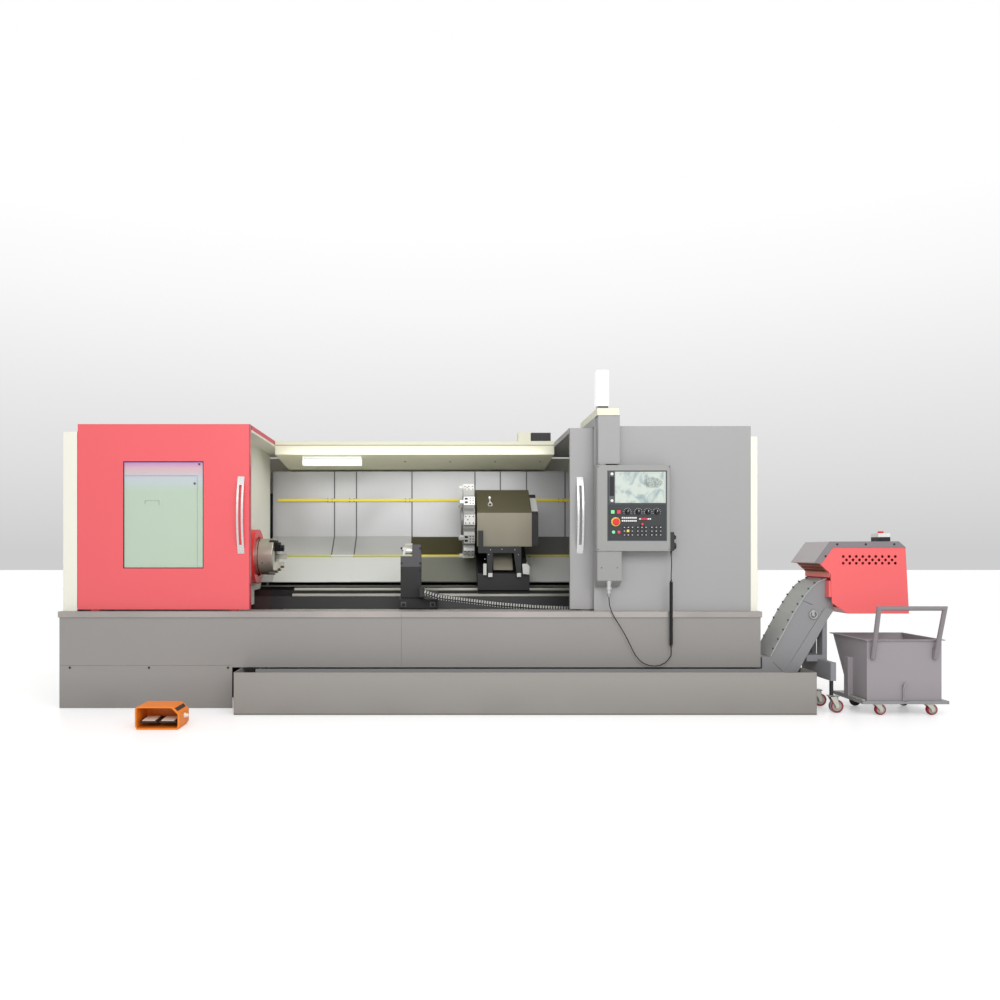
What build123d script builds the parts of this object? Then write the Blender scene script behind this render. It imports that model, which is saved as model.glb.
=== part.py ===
import math
import os

from build123d import *

os.makedirs("parts", exist_ok=True)

# Large CNC turning lathe with chip conveyor and chip cart. Millimetres, +Z up, the front faces -Y.
# The origin is on the floor at the middle of the whole footprint.

# Base and sheet metal
base_left = -3194
base_front = -732
base_length = 5166
base_depth = 2199
casing_top = 668
sheet = 5
base_right = base_left + base_length
base_back = base_front + base_depth
seat_gap = 0.3

# Stainless lip along the front edge of the base
lip_height = 44
lip_depth = 208
lip_overhang = 8
lip_top = casing_top + lip_height
lip_joint_x = -674
groove = 3

# Coolant tank and the bay it slides into
tank_left = -1847
tank_length = 4117
tank_front_reach = 257
tank_depth = 679
tank_height = 300
tank_wall = 5
bay_left = -1921
bay_top = tank_height + seat_gap
tank_front = base_front - tank_front_reach

# Spindle line
spindle_y = 48
spindle_z = 1112
headstock_face = -1960
chuck_radius = 150
chuck_length = 173
chuck_back = -1929
spindle_radius = 110
spindle_bore = 52
running_fit = 0.05

# Bed casting, guide rails and way covers
bed_left = base_left + 194
bed_right = base_right - 72
bed_back = 1000
front_way_y = -292
front_way_width = 122
front_way_z = 672
rear_way_z = 775
upper_way_z = 820
rail_height = 20
cover_foot = (361, 889)
cover_bend = (868, 1295)
cover_top_z = 1901
cover_sheet = 4
cover_step = 2.5
cover_standoff = 60
cover_split_x = 170

# Enclosure
wall_top = 2046
roof_thickness = 54
roof_top = wall_top + roof_thickness
enclosure_front = base_front + 60
enclosure_back = 1006
opening_right = 586
beam_front_y = 228

# Doors
door_thickness = 45
door_gap = 10
door_bottom = lip_top + door_gap
left_door_left = -3086
left_door_width = 1281
opening_left = left_door_left + left_door_width + 2
left_door_top = 2102
window_left = -2748
window_width = 598
window_bottom = 1028
window_height = 797
glass_thickness = 8
right_door_left = opening_right
right_door_width = base_right - 52 - right_door_left
right_door_thickness = 40
right_door_top = 2080
right_door_front = enclosure_front + 50
handle_bottom = 1138
handle_height = 574
handle_reach = 52
handle_width = 50
handle_band = 9
handle_slot = 20

# Carriage, cross slide and turret
saddle_left = -70
saddle_width = 435
slope = math.degrees(math.atan2(cover_bend[1] - cover_foot[1], cover_bend[0] - cover_foot[0]))
slide_reach = 495
disc_radius = 268
disc_width = 96
disc_left = -190
tool_count = 12
housing_left = -77
housing_width = 463

# Steady rest and tailstock
steady_left = -708
steady_width = 165
steady_throat = 62
tailstock_left = 900
quill_radius = 55

# Operator station
column_left = 770
column_width = 158
column_front = -762
pendant_left = 753
pendant_width = 540
pendant_bottom = 1157
pendant_top = 1784
pendant_front = -792
pendant_depth = 97
pivot_x = 800
pivot_y = -735

# Chip conveyor
trough_front = base_front + 5
trough_width = 270
hood_front = -787
hood_width = 390
hood_sheet = 4

# Chip cart
cart_front = -992
cart_left = tank_left + tank_length + 349
cart_width = 526
rim_z = 533
frame_z = 102

# Foot switch
foot_left = -2363
foot_front = -1467
foot_width = 288
foot_height = 150
foot_depth = 200


def across(x):
    # A plane square to the spindle line at x. Its sketches are drawn in Y and Z.
    return Plane.YZ.offset(x)


def facing(y):
    # A plane facing the front at depth y. Its sketches are drawn in X and Z.
    return Plane.XZ.offset(-y)


def corners(a0, a1, b0, b1, mode=Mode.ADD):
    # A rectangle from its low and high corners in the sketch.
    with Locations(((a0 + a1) / 2, (b0 + b1) / 2)):
        Rectangle(a1 - a0, b1 - b0, mode=mode)


def along_slope(reach, lift):
    # A point reach along the way covers' slope from its foot, and lift square to it.
    c = math.cos(math.radians(slope))
    s = math.sin(math.radians(slope))
    return (cover_foot[0] + reach * c - lift * s, cover_foot[1] + reach * s + lift * c)


slide_x = math.cos(math.radians(slope))
slide_z = math.sin(math.radians(slope))
turret_y = spindle_y + slide_reach * slide_x
turret_z = spindle_z + slide_reach * slide_z

# The sheet-metal base casing, open below, with its deck cut out round the bed and a bay for the tank
with BuildPart() as base_casing:
    with BuildSketch(across(base_left)):
        corners(base_front, base_back, 0, casing_top)
    extrude(amount=base_length)
    with BuildSketch(across(base_left + sheet)):
        corners(base_front + sheet, base_back - sheet, 0, casing_top - sheet)
    extrude(amount=base_length - 2 * sheet, mode=Mode.SUBTRACT)
    with BuildSketch(Plane.XY.offset(casing_top)):
        corners(bed_left - 10, bed_right + 10, base_front + lip_depth + 12, bed_back + 4)
    extrude(amount=-sheet, mode=Mode.SUBTRACT)
    with BuildSketch(across(bay_left)):
        corners(base_front - 1, tank_front + tank_depth + 14, 0, bay_top)
    extrude(amount=base_right - bay_left + 1, mode=Mode.SUBTRACT)
    with BuildSketch(facing(base_front)):
        corners(lip_joint_x - groove / 2, lip_joint_x + groove / 2, bay_top, casing_top)
        corners(base_left, bay_left, bay_top + 12, bay_top + 12 + groove)
    extrude(amount=-groove / 2, mode=Mode.SUBTRACT)
base_casing.part.label = "base_casing"
export_step(base_casing.part, "parts/base_casing.step")

# The stainless lip that the doors run on, with the joint between its two lengths
with BuildPart() as front_lip:
    with BuildSketch(across(base_left - lip_overhang)):
        corners(base_front - lip_overhang, base_front + lip_depth, casing_top, lip_top)
    extrude(amount=base_length + 2 * lip_overhang)
    with BuildSketch(facing(base_front - lip_overhang)):
        corners(lip_joint_x - groove / 2, lip_joint_x + groove / 2, casing_top, lip_top)
    extrude(amount=-groove, mode=Mode.SUBTRACT)
    track_depth = 3
    with BuildSketch(Plane.XY.offset(lip_top)):
        for track_y in (enclosure_front + door_thickness / 2, right_door_front + right_door_thickness / 2):
            corners(base_left + 120, base_right - 60, track_y - 6, track_y + 6)
    extrude(amount=-track_depth, mode=Mode.SUBTRACT)
front_lip.part.label = "front_lip"
export_step(front_lip.part, "parts/front_lip.step")

# The open coolant tank, which slides in under the base from the front
with BuildPart() as coolant_tank:
    with BuildSketch():
        corners(tank_left, tank_left + tank_length, tank_front, tank_front + tank_depth)
    extrude(amount=tank_height)
    fillet(coolant_tank.edges().filter_by(Axis.Z), radius=8)
    with BuildSketch(Plane.XY.offset(tank_wall)):
        corners(
            tank_left + tank_wall,
            tank_left + tank_length - tank_wall,
            tank_front + tank_wall,
            tank_front + tank_depth - tank_wall,
        )
    extrude(amount=tank_height, mode=Mode.SUBTRACT)
coolant_tank.part.label = "coolant_tank"
export_step(coolant_tank.part, "parts/coolant_tank.step")

# The cast bed: a front way, a chip flute, two rear ways and the slanted back, cored along its length
flute_z = 500
way_edge = front_way_y + front_way_width
slant_foot = along_slope(0, -cover_standoff)
slant_head = along_slope(650, -cover_standoff)
back_wall_y = 930
back_wall_z = 1700
with BuildPart() as bed_casting:
    with BuildSketch(across(bed_left)):
        Polygon(
            (front_way_y, 0),
            (bed_back, 0),
            (bed_back, back_wall_z),
            (back_wall_y, back_wall_z),
            (back_wall_y, slant_head[1] + 10),
            slant_head,
            slant_foot,
            (350, upper_way_z),
            (262, upper_way_z),
            (262, rear_way_z),
            (160, rear_way_z),
            (120, flute_z + 120),
            (way_edge, flute_z),
            (way_edge, front_way_z),
            (front_way_y, front_way_z),
        )
        Polygon(
            (front_way_y + 70, 70),
            (bed_back - 60, 70),
            (bed_back - 60, 1080),
            (slant_foot[0] + 150, 790),
            (slant_foot[0] - 120, 700),
            (160, 540),
            (way_edge, flute_z - 90),
            (front_way_y + 70, flute_z - 110),
            mode=Mode.SUBTRACT,
        )
    extrude(amount=bed_right - bed_left)
    # Chip windows through the front way
    with BuildSketch(facing(front_way_y)):
        with Locations(((saddle_left + bed_right) / 2 - 600, flute_z + 70)):
            with GridLocations(560, 1, 6, 1):
                Rectangle(420, 100)
    extrude(amount=-front_way_width, mode=Mode.SUBTRACT)
bed_casting.part.label = "bed_casting"
export_step(bed_casting.part, "parts/bed_casting.step")

# Hardened guide rails bolted on the three ways
rail_start = -1644
with BuildPart() as guide_rails:
    with BuildSketch(across(rail_start)):
        corners(front_way_y + 30, way_edge - 30, front_way_z, front_way_z + rail_height)
        corners(180, 242, rear_way_z, rear_way_z + rail_height)
        corners(284, 334, upper_way_z, upper_way_z + rail_height)
    extrude(amount=bed_right - rail_start - 20)
guide_rails.part.label = "guide_rails"
export_step(guide_rails.part, "parts/guide_rails.step")

# The headstock casting, bored for the spindle
headstock_length = 940
with BuildPart() as headstock_casting:
    with BuildSketch(across(headstock_face - headstock_length)):
        Polygon(
            (front_way_y, front_way_z + seat_gap),
            (way_edge, front_way_z + seat_gap),
            (way_edge + 10, front_way_z + 30),
            (150, upper_way_z + seat_gap),
            (298, upper_way_z + seat_gap),
            (298, 1330),
            (206, 1420),
            (-110, 1420),
            (-202, 1330),
            (-202, 900),
            (front_way_y, 800),
        )
        with Locations((spindle_y, spindle_z)):
            Circle(spindle_radius + running_fit, mode=Mode.SUBTRACT)
    extrude(amount=headstock_length)
headstock_casting.part.label = "headstock_casting"
export_step(headstock_casting.part, "parts/headstock_casting.step")

# The hollow spindle with its nose flange
spindle_tail = 1060
nose_radius = 138
wall_plate = 5
with BuildPart() as spindle_shaft:
    with BuildSketch(across(chuck_back - spindle_tail - 71)):
        with Locations((spindle_y, spindle_z)):
            Circle(spindle_radius)
    extrude(amount=spindle_tail + 71)
    with BuildSketch(across(headstock_face + 1)):
        with Locations((spindle_y, spindle_z)):
            Circle(nose_radius)
    extrude(amount=chuck_back - headstock_face - 1)
    with BuildSketch(across(chuck_back - spindle_tail - 71)):
        with Locations((spindle_y, spindle_z)):
            Circle(spindle_bore)
    extrude(amount=spindle_tail + 71, mode=Mode.SUBTRACT)
spindle_shaft.part.label = "spindle_shaft"
export_step(spindle_shaft.part, "parts/spindle_shaft.step")

# The three-jaw chuck body with its three radial jaw ways
jaw_width = 44
jaw_way_depth = 40
jaw_clear = 0.3
jaw_angles = (120, 240, 0)
with BuildPart() as chuck_body:
    with BuildSketch(across(chuck_back)):
        with Locations((spindle_y, spindle_z)):
            Circle(chuck_radius)
    extrude(amount=chuck_length)
    chamfer(chuck_body.faces().sort_by(Axis.X)[-1].edges().filter_by(GeomType.CIRCLE), length=6)
    with BuildSketch(across(chuck_back)):
        with Locations((spindle_y, spindle_z)):
            Circle(spindle_bore)
    extrude(amount=chuck_length, mode=Mode.SUBTRACT)
    with BuildSketch(across(chuck_back + chuck_length)):
        with Locations((spindle_y, spindle_z)):
            for angle in jaw_angles:
                with Locations(Rotation(0, 0, angle)):
                    with Locations((chuck_radius / 2 + 25, 0)):
                        Rectangle(chuck_radius, jaw_width)
    extrude(amount=-jaw_way_depth, mode=Mode.SUBTRACT)
chuck_body.part.label = "chuck_body"
export_step(chuck_body.part, "parts/chuck_body.step")

# One stepped top jaw on its master jaw for each way
jaw_root = 62
jaw_height = 62
for number, angle in enumerate(jaw_angles, start=1):
    radial = Plane(
        origin=(chuck_back + chuck_length, spindle_y, spindle_z),
        x_dir=(0, math.cos(math.radians(angle)), math.sin(math.radians(angle))),
        z_dir=(0, -math.sin(math.radians(angle)), math.cos(math.radians(angle))),
    )
    # In this plane the first axis runs outwards and the second along the spindle line, away from the chuck
    with BuildPart() as chuck_jaw:
        with BuildSketch(radial):
            out = -1 if radial.y_dir.X < 0 else 1
            Polygon(
                (jaw_root, -out * (jaw_way_depth - jaw_clear)),
                (chuck_radius - 8, -out * (jaw_way_depth - jaw_clear)),
                (chuck_radius - 8, out * 30),
                (chuck_radius - 26, out * 30),
                (chuck_radius - 26, out * 52),
                (chuck_radius - 52, out * 52),
                (chuck_radius - 52, out * (jaw_height + 14)),
                (jaw_root, out * (jaw_height + 14)),
            )
        extrude(amount=jaw_width / 2 - jaw_clear, both=True)
    chuck_jaw.part.label = f"chuck_jaw_{number}"
    export_step(chuck_jaw.part, f"parts/chuck_jaw_{number}.step")

# The red ring guard round the chuck's root
guard_radius = 225
with BuildPart() as spindle_cover:
    with BuildSketch(across(headstock_face + wall_plate)):
        with Locations((spindle_y, spindle_z)):
            Circle(guard_radius)
            Circle(chuck_radius + 12, mode=Mode.SUBTRACT)
    extrude(amount=58)
spindle_cover.part.label = "spindle_cover"
export_step(spindle_cover.part, "parts/spindle_cover.step")

# The stainless way covers: each section steps 2.5 mm over the one before
tan_slope = math.tan(math.radians(slope))
left_seams = (headstock_face + wall_plate + 6, -1374, -1169, -651, -64, cover_split_x)
right_shares = (0.2312, 0.4393, 0.6497, 0.8578)
right_seams = [bed_right - share * (bed_right - cover_split_x) for share in right_shares]
right_seams = [bed_right, *right_seams, cover_split_x + 1]


def cover_section(x0, x1, lift):
    # One section of bent sheet from x0 to x1, brought forward by lift.
    foot = along_slope(0, lift)
    back = along_slope(0, -cover_sheet)
    bend_y = cover_bend[0] - lift
    rear_y = cover_bend[0] + cover_sheet
    with BuildSketch(across(x0)) as section:
        Polygon(
            foot,
            (bend_y, foot[1] + (bend_y - foot[0]) * tan_slope),
            (bend_y, cover_top_z),
            (rear_y, cover_top_z),
            (rear_y, back[1] + (rear_y - back[0]) * tan_slope),
            back,
        )
    extrude(section.sketch, amount=x1 - x0)


def cover_rib(x0):
    # A standoff under the slanted sheet, which seats it on the bed.
    with BuildSketch(across(x0)) as rib:
        Polygon(
            along_slope(20, -cover_sheet),
            along_slope(600, -cover_sheet),
            along_slope(600, seat_gap - cover_standoff),
            along_slope(20, seat_gap - cover_standoff),
        )
    extrude(rib.sketch, amount=12)


with BuildPart() as way_cover_left:
    for number, (x0, x1) in enumerate(zip(left_seams, left_seams[1:])):
        cover_section(x0, x1, number * cover_step)
    cover_rib(left_seams[0] + 40)
    cover_rib(cover_split_x - 60)
way_cover_left.part.label = "way_cover_left"
export_step(way_cover_left.part, "parts/way_cover_left.step")

with BuildPart() as way_cover_right:
    for number, (x1, x0) in enumerate(zip(right_seams, right_seams[1:])):
        cover_section(x0, x1, number * cover_step)
    cover_rib(bed_right - 60)
    cover_rib(cover_split_x + 48)
way_cover_right.part.label = "way_cover_right"
export_step(way_cover_right.part, "parts/way_cover_right.step")

# The saddle: shoes on the two rear rails, and a slanted back that carries the cross slide
shoe_front = 138
saddle_brow = 970
with BuildPart() as saddle:
    with BuildSketch(across(saddle_left)):
        Polygon(
            (shoe_front, rear_way_z + 46),
            (176, rear_way_z + 46),
            (176, rear_way_z + rail_height + seat_gap),
            (242 + seat_gap, rear_way_z + rail_height + seat_gap),
            (242 + seat_gap, upper_way_z + 6),
            (284 - seat_gap, upper_way_z + 6),
            (284 - seat_gap, upper_way_z + rail_height + seat_gap),
            (330, upper_way_z + rail_height + seat_gap),
            along_slope(0, 24),
            along_slope(560, 24),
            along_slope(560, 120),
            along_slope(190, 120),
            (shoe_front + 60, saddle_brow + 20),
            (shoe_front, saddle_brow),
        )
    extrude(amount=saddle_width)
    chamfer(saddle.edges().filter_by(Axis.X).group_by(Axis.Y)[0], length=8)
saddle.part.label = "saddle"
export_step(saddle.part, "parts/saddle.step")

# The black cross slide, from the saddle's slanted way up to the turret housing, with a portal on its front
strut_front = 106
strut_back = shoe_front - 2
strut_foot = saddle_brow + 4
housing_front = 148
housing_bottom = 1196
housing_heel = (housing_front + 60, housing_bottom + 6)
housing_rear = (640, 1655)
slide_left = housing_left + 10
slide_right = slide_left + 360
with BuildPart() as cross_slide:
    with BuildSketch(across(slide_left)):
        Polygon(
            (strut_back, 1140),
            (strut_back, housing_bottom),
            (housing_front, housing_bottom),
            housing_heel,
            housing_rear,
            (700, 1560),
            along_slope(600, 120 + seat_gap),
            along_slope(360, 120 + seat_gap),
        )
    extrude(amount=slide_right - slide_left)
    with BuildSketch(facing(strut_front)):
        corners(slide_left, slide_right, 1140, housing_bottom)
        Polygon((slide_left + 70, 1150), (slide_left + 123, 1150), (slide_left + 117, strut_foot), (slide_left + 77, strut_foot))
        Polygon((slide_right - 64, 1150), (slide_right, 1150), (slide_right, strut_foot), (slide_right - 40, strut_foot))
        corners(slide_left, slide_left + 40, 1150, 1330)
    extrude(amount=strut_front - strut_back)
cross_slide.part.label = "cross_slide"
export_step(cross_slide.part, "parts/cross_slide.step")

# The stainless turret housing: an upright front, a raked brow and a stepped right shoulder
housing_profile = (
    (housing_front, housing_bottom),
    (housing_front, 1479),
    (418, 1694),
    (housing_rear[0], 1694),
    housing_rear,
    housing_heel,
)
with BuildPart() as turret_housing:
    with BuildSketch(across(housing_left)):
        Polygon(*housing_profile)
    extrude(amount=housing_width)
    with BuildSketch(across(housing_left + housing_width)):
        Polygon((housing_front + 20, 1205), (housing_front + 20, 1470), (400, 1652), (600, 1652), (600, 1620), (230, 1215))
    extrude(amount=57)
turret_housing.part.label = "turret_housing"
export_step(turret_housing.part, "parts/turret_housing.step")

# The turret disc: twelve flats, each with a pocket for its tool block
shaft_radius = 70
with BuildPart() as turret_disc:
    with BuildSketch(across(disc_left)):
        with Locations((turret_y, turret_z)):
            RegularPolygon(disc_radius, tool_count, major_radius=False, rotation=180 / tool_count)
    extrude(amount=disc_width)
    with BuildSketch(across(disc_left + disc_width)):
        with Locations((turret_y, turret_z)):
            Circle(shaft_radius)
    extrude(amount=housing_left - disc_left - disc_width - seat_gap)
    with BuildSketch(across(disc_left)):
        with Locations((turret_y, turret_z)):
            Circle(120)
    extrude(amount=-16)
turret_disc.part.label = "turret_disc"
export_step(turret_disc.part, "parts/turret_disc.step")

# Tool blocks bolted on the flats: square turning holders and round boring holders by turns
block_height = 56
block_width = 84
with BuildPart() as tool_holders:
    for station in range(tool_count):
        angle = 360 / tool_count * station
        out = (math.cos(math.radians(angle)), math.sin(math.radians(angle)))
        flat = Plane(
            origin=(disc_left + disc_width / 2, turret_y + disc_radius * out[0], turret_z + disc_radius * out[1]),
            x_dir=(1, 0, 0),
            z_dir=(0, out[0], out[1]),
        )
        with BuildSketch(flat):
            Rectangle(disc_width - 4, block_width)
        extrude(amount=block_height)
        if station % 2:
            with BuildSketch(flat.offset(block_height / 2 + 2)):
                with Locations((-disc_width / 2 - 10, 0)):
                    Rectangle(40, 30)
            extrude(amount=12, both=True)
tool_holders.part.label = "tool_holders"
export_step(tool_holders.part, "parts/tool_holders.step")

# The steady rest's base on the front and rear rails, its column and its throated head
steady_right = steady_left + steady_width
head_bottom = 1031
head_top = 1210
head_front = -172
head_back = 88
with BuildPart() as steady_rest:
    with BuildSketch(across(steady_left - 4)):
        Polygon(
            (front_way_y, front_way_z + 30),
            (front_way_y + 30 - seat_gap, front_way_z + 30),
            (front_way_y + 30 - seat_gap, front_way_z + rail_height + seat_gap),
            (way_edge - 30 + seat_gap, front_way_z + rail_height + seat_gap),
            (way_edge, front_way_z + 16),
            (way_edge + 40, front_way_z + 30),
            (110, 770),
            (124, rear_way_z + rail_height + seat_gap),
            (134, rear_way_z + rail_height + 30),
            (60, rear_way_z + rail_height + 34),
            (head_front - 40, rear_way_z + 6),
            (front_way_y, rear_way_z),
        )
    extrude(amount=302)
    with BuildSketch(across(steady_left)):
        corners(head_front, 0, rear_way_z - 20, head_bottom)
    extrude(amount=steady_width)
    with BuildSketch(across(steady_left)):
        corners(head_front, head_back, head_bottom, spindle_z + 3)
    extrude(amount=steady_width)
    with BuildSketch(across(steady_right - 70)):
        corners(head_front, head_back, head_bottom, head_top)
    extrude(amount=70)
    # The bracket that the cable chain's end is bolted to
    with BuildSketch(across(steady_right - 6)):
        corners(-410, head_front + 20, 800, 880)
    extrude(amount=6 + 28 - seat_gap)
    # The throat round the work, open to the back
    with BuildSketch(across(steady_left - 1)):
        with Locations((spindle_y, spindle_z)):
            Circle(steady_throat)
        corners(spindle_y, head_back + 1, spindle_z - steady_throat, spindle_z + steady_throat)
    extrude(amount=steady_width + 2, mode=Mode.SUBTRACT)
steady_rest.part.label = "steady_rest"
export_step(steady_rest.part, "parts/steady_rest.step")

# Two roller arms on the head's left side, one above the work and one below its front
arm_width = 62
arm_left = steady_left + 30
arm_pivot = (-96, 1160)
with BuildPart() as steady_arm:
    with BuildSketch(across(arm_left)):
        with Locations(arm_pivot):
            RegularPolygon(26, 16)
        Polygon((-112, 1180), (-76, 1150), (-14, 1176), (-4, 1206), (-40, 1212))
        with Locations((-14, 1198)):
            RegularPolygon(22, 16)
        with Locations(arm_pivot):
            Circle(12 + running_fit, mode=Mode.SUBTRACT)
    extrude(amount=arm_width)
steady_arm.part.label = "steady_arm"
export_step(steady_arm.part, "parts/steady_arm.step")

# The arm's pivot pin, let into the head's upright
with BuildPart() as steady_pin:
    with BuildSketch(across(arm_left - 6)):
        with Locations(arm_pivot):
            Circle(12)
    extrude(amount=steady_right - 70 - arm_left + 6)
steady_pin.part.label = "steady_pin"
export_step(steady_pin.part, "parts/steady_pin.step")

# The cable chain from the steady rest to the right, made of box links on a flexible strip
chain_front = -402
chain_width = 60
link_pitch = 42
chain_points = ((-515, 853), (-390, 814), (48, 759), (340, 735), (631, 722), (base_right - 462, 720))
chain_thick = 34
with BuildPart() as energy_chain:
    with BuildSketch(facing(chain_front)):
        with BuildLine():
            Polyline(
                *chain_points,
                *[(x, z - chain_thick) for x, z in reversed(chain_points)],
                chain_points[0],
            )
        make_face()
    extrude(amount=-chain_width + 16)
    for (x0, z0), (x1, z1) in zip(chain_points, chain_points[1:]):
        run = math.hypot(x1 - x0, z1 - z0)
        links = int(run / link_pitch)
        lean = math.degrees(math.atan2(z1 - z0, x1 - x0))
        with BuildSketch(facing(chain_front - 8)):
            for number in range(links):
                share = (number + 0.5) / links
                with Locations((x0 + (x1 - x0) * share, z0 + (z1 - z0) * share - chain_thick / 2)):
                    Rectangle(link_pitch - 12, chain_thick + 8, rotation=lean)
        extrude(amount=-chain_width)
energy_chain.part.label = "energy_chain"
export_step(energy_chain.part, "parts/energy_chain.step")

# The tailstock: base across the rails, body and the bore for its quill
tailstock_length = 420
with BuildPart() as tailstock_body:
    with BuildSketch(across(tailstock_left)):
        Polygon(
            (front_way_y, front_way_z + 30),
            (front_way_y + 30 - seat_gap, front_way_z + 30),
            (front_way_y + 30 - seat_gap, front_way_z + rail_height + seat_gap),
            (way_edge - 30 + seat_gap, front_way_z + rail_height + seat_gap),
            (way_edge, front_way_z + 16),
            (way_edge + 40, front_way_z + 30),
            (110, 770),
            (124, rear_way_z + rail_height + seat_gap),
            (134, rear_way_z + rail_height + 30),
            (100, 880),
            (112, 1040),
            (126, spindle_z),
            (118, spindle_z + 60),
            (90, spindle_z + 76),
            (0, spindle_z + 76),
            (-40, spindle_z + 50),
            (-110, 900),
            (front_way_y, 800),
        )
        with Locations((spindle_y, spindle_z)):
            Circle(quill_radius + running_fit, mode=Mode.SUBTRACT)
    extrude(amount=tailstock_length)
tailstock_body.part.label = "tailstock_body"
export_step(tailstock_body.part, "parts/tailstock_body.step")

# The quill with its live centre
with BuildPart() as tailstock_quill:
    with BuildSketch(Plane.XZ.offset(-spindle_y)):
        with BuildLine():
            Polyline(
                (tailstock_left - 160, spindle_z),
                (tailstock_left - 128, spindle_z + 20),
                (tailstock_left - 80, spindle_z + 20),
                (tailstock_left - 80, spindle_z + quill_radius),
                (tailstock_left + 380, spindle_z + quill_radius),
                (tailstock_left + 380, spindle_z),
                close=True,
            )
        make_face()
    revolve(axis=Axis((0, spindle_y, spindle_z), (1, 0, 0)))
tailstock_quill.part.label = "tailstock_quill"
export_step(tailstock_quill.part, "parts/tailstock_quill.step")

# The left end cover, a cream box open to the headstock
end_cover_width = 104
with BuildPart() as left_end_cover:
    with BuildSketch(across(base_left)):
        corners(enclosure_front, enclosure_back, lip_top, wall_top)
    extrude(amount=end_cover_width)
    with BuildSketch(across(base_left + sheet)):
        corners(enclosure_front + sheet, enclosure_back - sheet, lip_top, wall_top - sheet)
    extrude(amount=end_cover_width, mode=Mode.SUBTRACT)
left_end_cover.part.label = "left_end_cover"
export_step(left_end_cover.part, "parts/left_end_cover.step")

# The pale cover round the headstock: a front sheet with a ledge and slot, and the inner wall behind the chuck
inner_front = base_front + 190
with BuildPart() as headstock_cover:
    with BuildSketch(facing(inner_front)):
        corners(base_left + end_cover_width, headstock_face + wall_plate, lip_top, wall_top)
    extrude(amount=-wall_plate)
    with BuildSketch(facing(inner_front)):
        corners(-2590, -2480, 1490, 1531)
    extrude(amount=-wall_plate, mode=Mode.SUBTRACT)
    with BuildSketch(facing(inner_front)):
        corners(base_left + end_cover_width, headstock_face + wall_plate, 1716, 1722)
        corners(-2214, -2208, lip_top, 1716)
    extrude(amount=3)
    with BuildSketch(across(headstock_face)):
        Polygon(
            (inner_front, lip_top),
            (130, lip_top),
            (130, upper_way_z + 10),
            (350, upper_way_z + 10),
            (770, 1170),
            (770, wall_top),
            (inner_front, wall_top),
        )
        with Locations((spindle_y, spindle_z)):
            Circle(nose_radius + 6, mode=Mode.SUBTRACT)
    extrude(amount=wall_plate)
headstock_cover.part.label = "headstock_cover"
export_step(headstock_cover.part, "parts/headstock_cover.step")

# The left roof over the headstock, whose edge shows beside the opening
roof_front = enclosure_front + door_thickness + 9
with BuildPart() as left_roof:
    with BuildSketch(across(left_door_left)):
        corners(roof_front, enclosure_back, wall_top, roof_top)
    extrude(amount=opening_left - left_door_left)
    with BuildSketch(across(opening_left)):
        corners(roof_front, beam_front_y, wall_top, wall_top + 14)
    extrude(amount=4)
left_roof.part.label = "left_roof"
export_step(left_roof.part, "parts/left_roof.step")

# The cream beam across the back of the opening, with its sloped soffit
soffit_back = (860, 1915)
soffit_front_z = 1983
with BuildPart() as back_beam:
    with BuildSketch(across(opening_left + 4 + seat_gap)):
        Polygon(
            (beam_front_y, soffit_front_z),
            (beam_front_y, 2062),
            (beam_front_y - 5, 2065),
            (beam_front_y - 5, roof_top - 2),
            (enclosure_back, roof_top - 2),
            (enclosure_back, soffit_back[1]),
            soffit_back,
        )
    extrude(amount=opening_right - opening_left - 4 - 2 * seat_gap)
    # The junction box and cable duct on top
    with BuildSketch(Plane.XY.offset(roof_top - 2)):
        corners(280, 386, beam_front_y + 10, beam_front_y + 120)
        corners(390, 560, beam_front_y + 30, beam_front_y + 90)
    extrude(amount=75)
back_beam.part.label = "back_beam"
export_step(back_beam.part, "parts/back_beam.step")

# The work light under the soffit: a mounting channel and the lamp body
with BuildPart() as work_light:
    with BuildSketch(across(-1577)):
        corners(beam_front_y + 76, beam_front_y + 138, 1898, 1948)
    extrude(amount=507)
    fillet(work_light.edges().filter_by(Axis.X).group_by(Axis.Z)[0], radius=14)
    with BuildSketch(across(-1577)):
        Polygon(
            (beam_front_y + 70, 1948),
            (beam_front_y + 144, 1948),
            (beam_front_y + 144, soffit_front_z - 144 * (soffit_front_z - 1915) / 632 - seat_gap),
            (beam_front_y + 70, soffit_front_z - 70 * (soffit_front_z - 1915) / 632 - seat_gap),
        )
    extrude(amount=507)
work_light.part.label = "work_light"
export_step(work_light.part, "parts/work_light.step")

# The rear cabinet for the electrics and hydraulics, with its door joints
cabinet_top = 2040
with BuildPart() as rear_cabinet:
    with BuildSketch(across(base_left)):
        corners(enclosure_back + 4, base_back, casing_top, cabinet_top)
    extrude(amount=base_length)
    with BuildSketch(facing(base_back)):
        with Locations((base_left + base_length / 2, (casing_top + cabinet_top) / 2)):
            with GridLocations(base_length / 6, 1, 5, 1):
                Rectangle(4, cabinet_top - casing_top - 120)
    extrude(amount=6, mode=Mode.SUBTRACT)
rear_cabinet.part.label = "rear_cabinet"
export_step(rear_cabinet.part, "parts/rear_cabinet.step")

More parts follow.
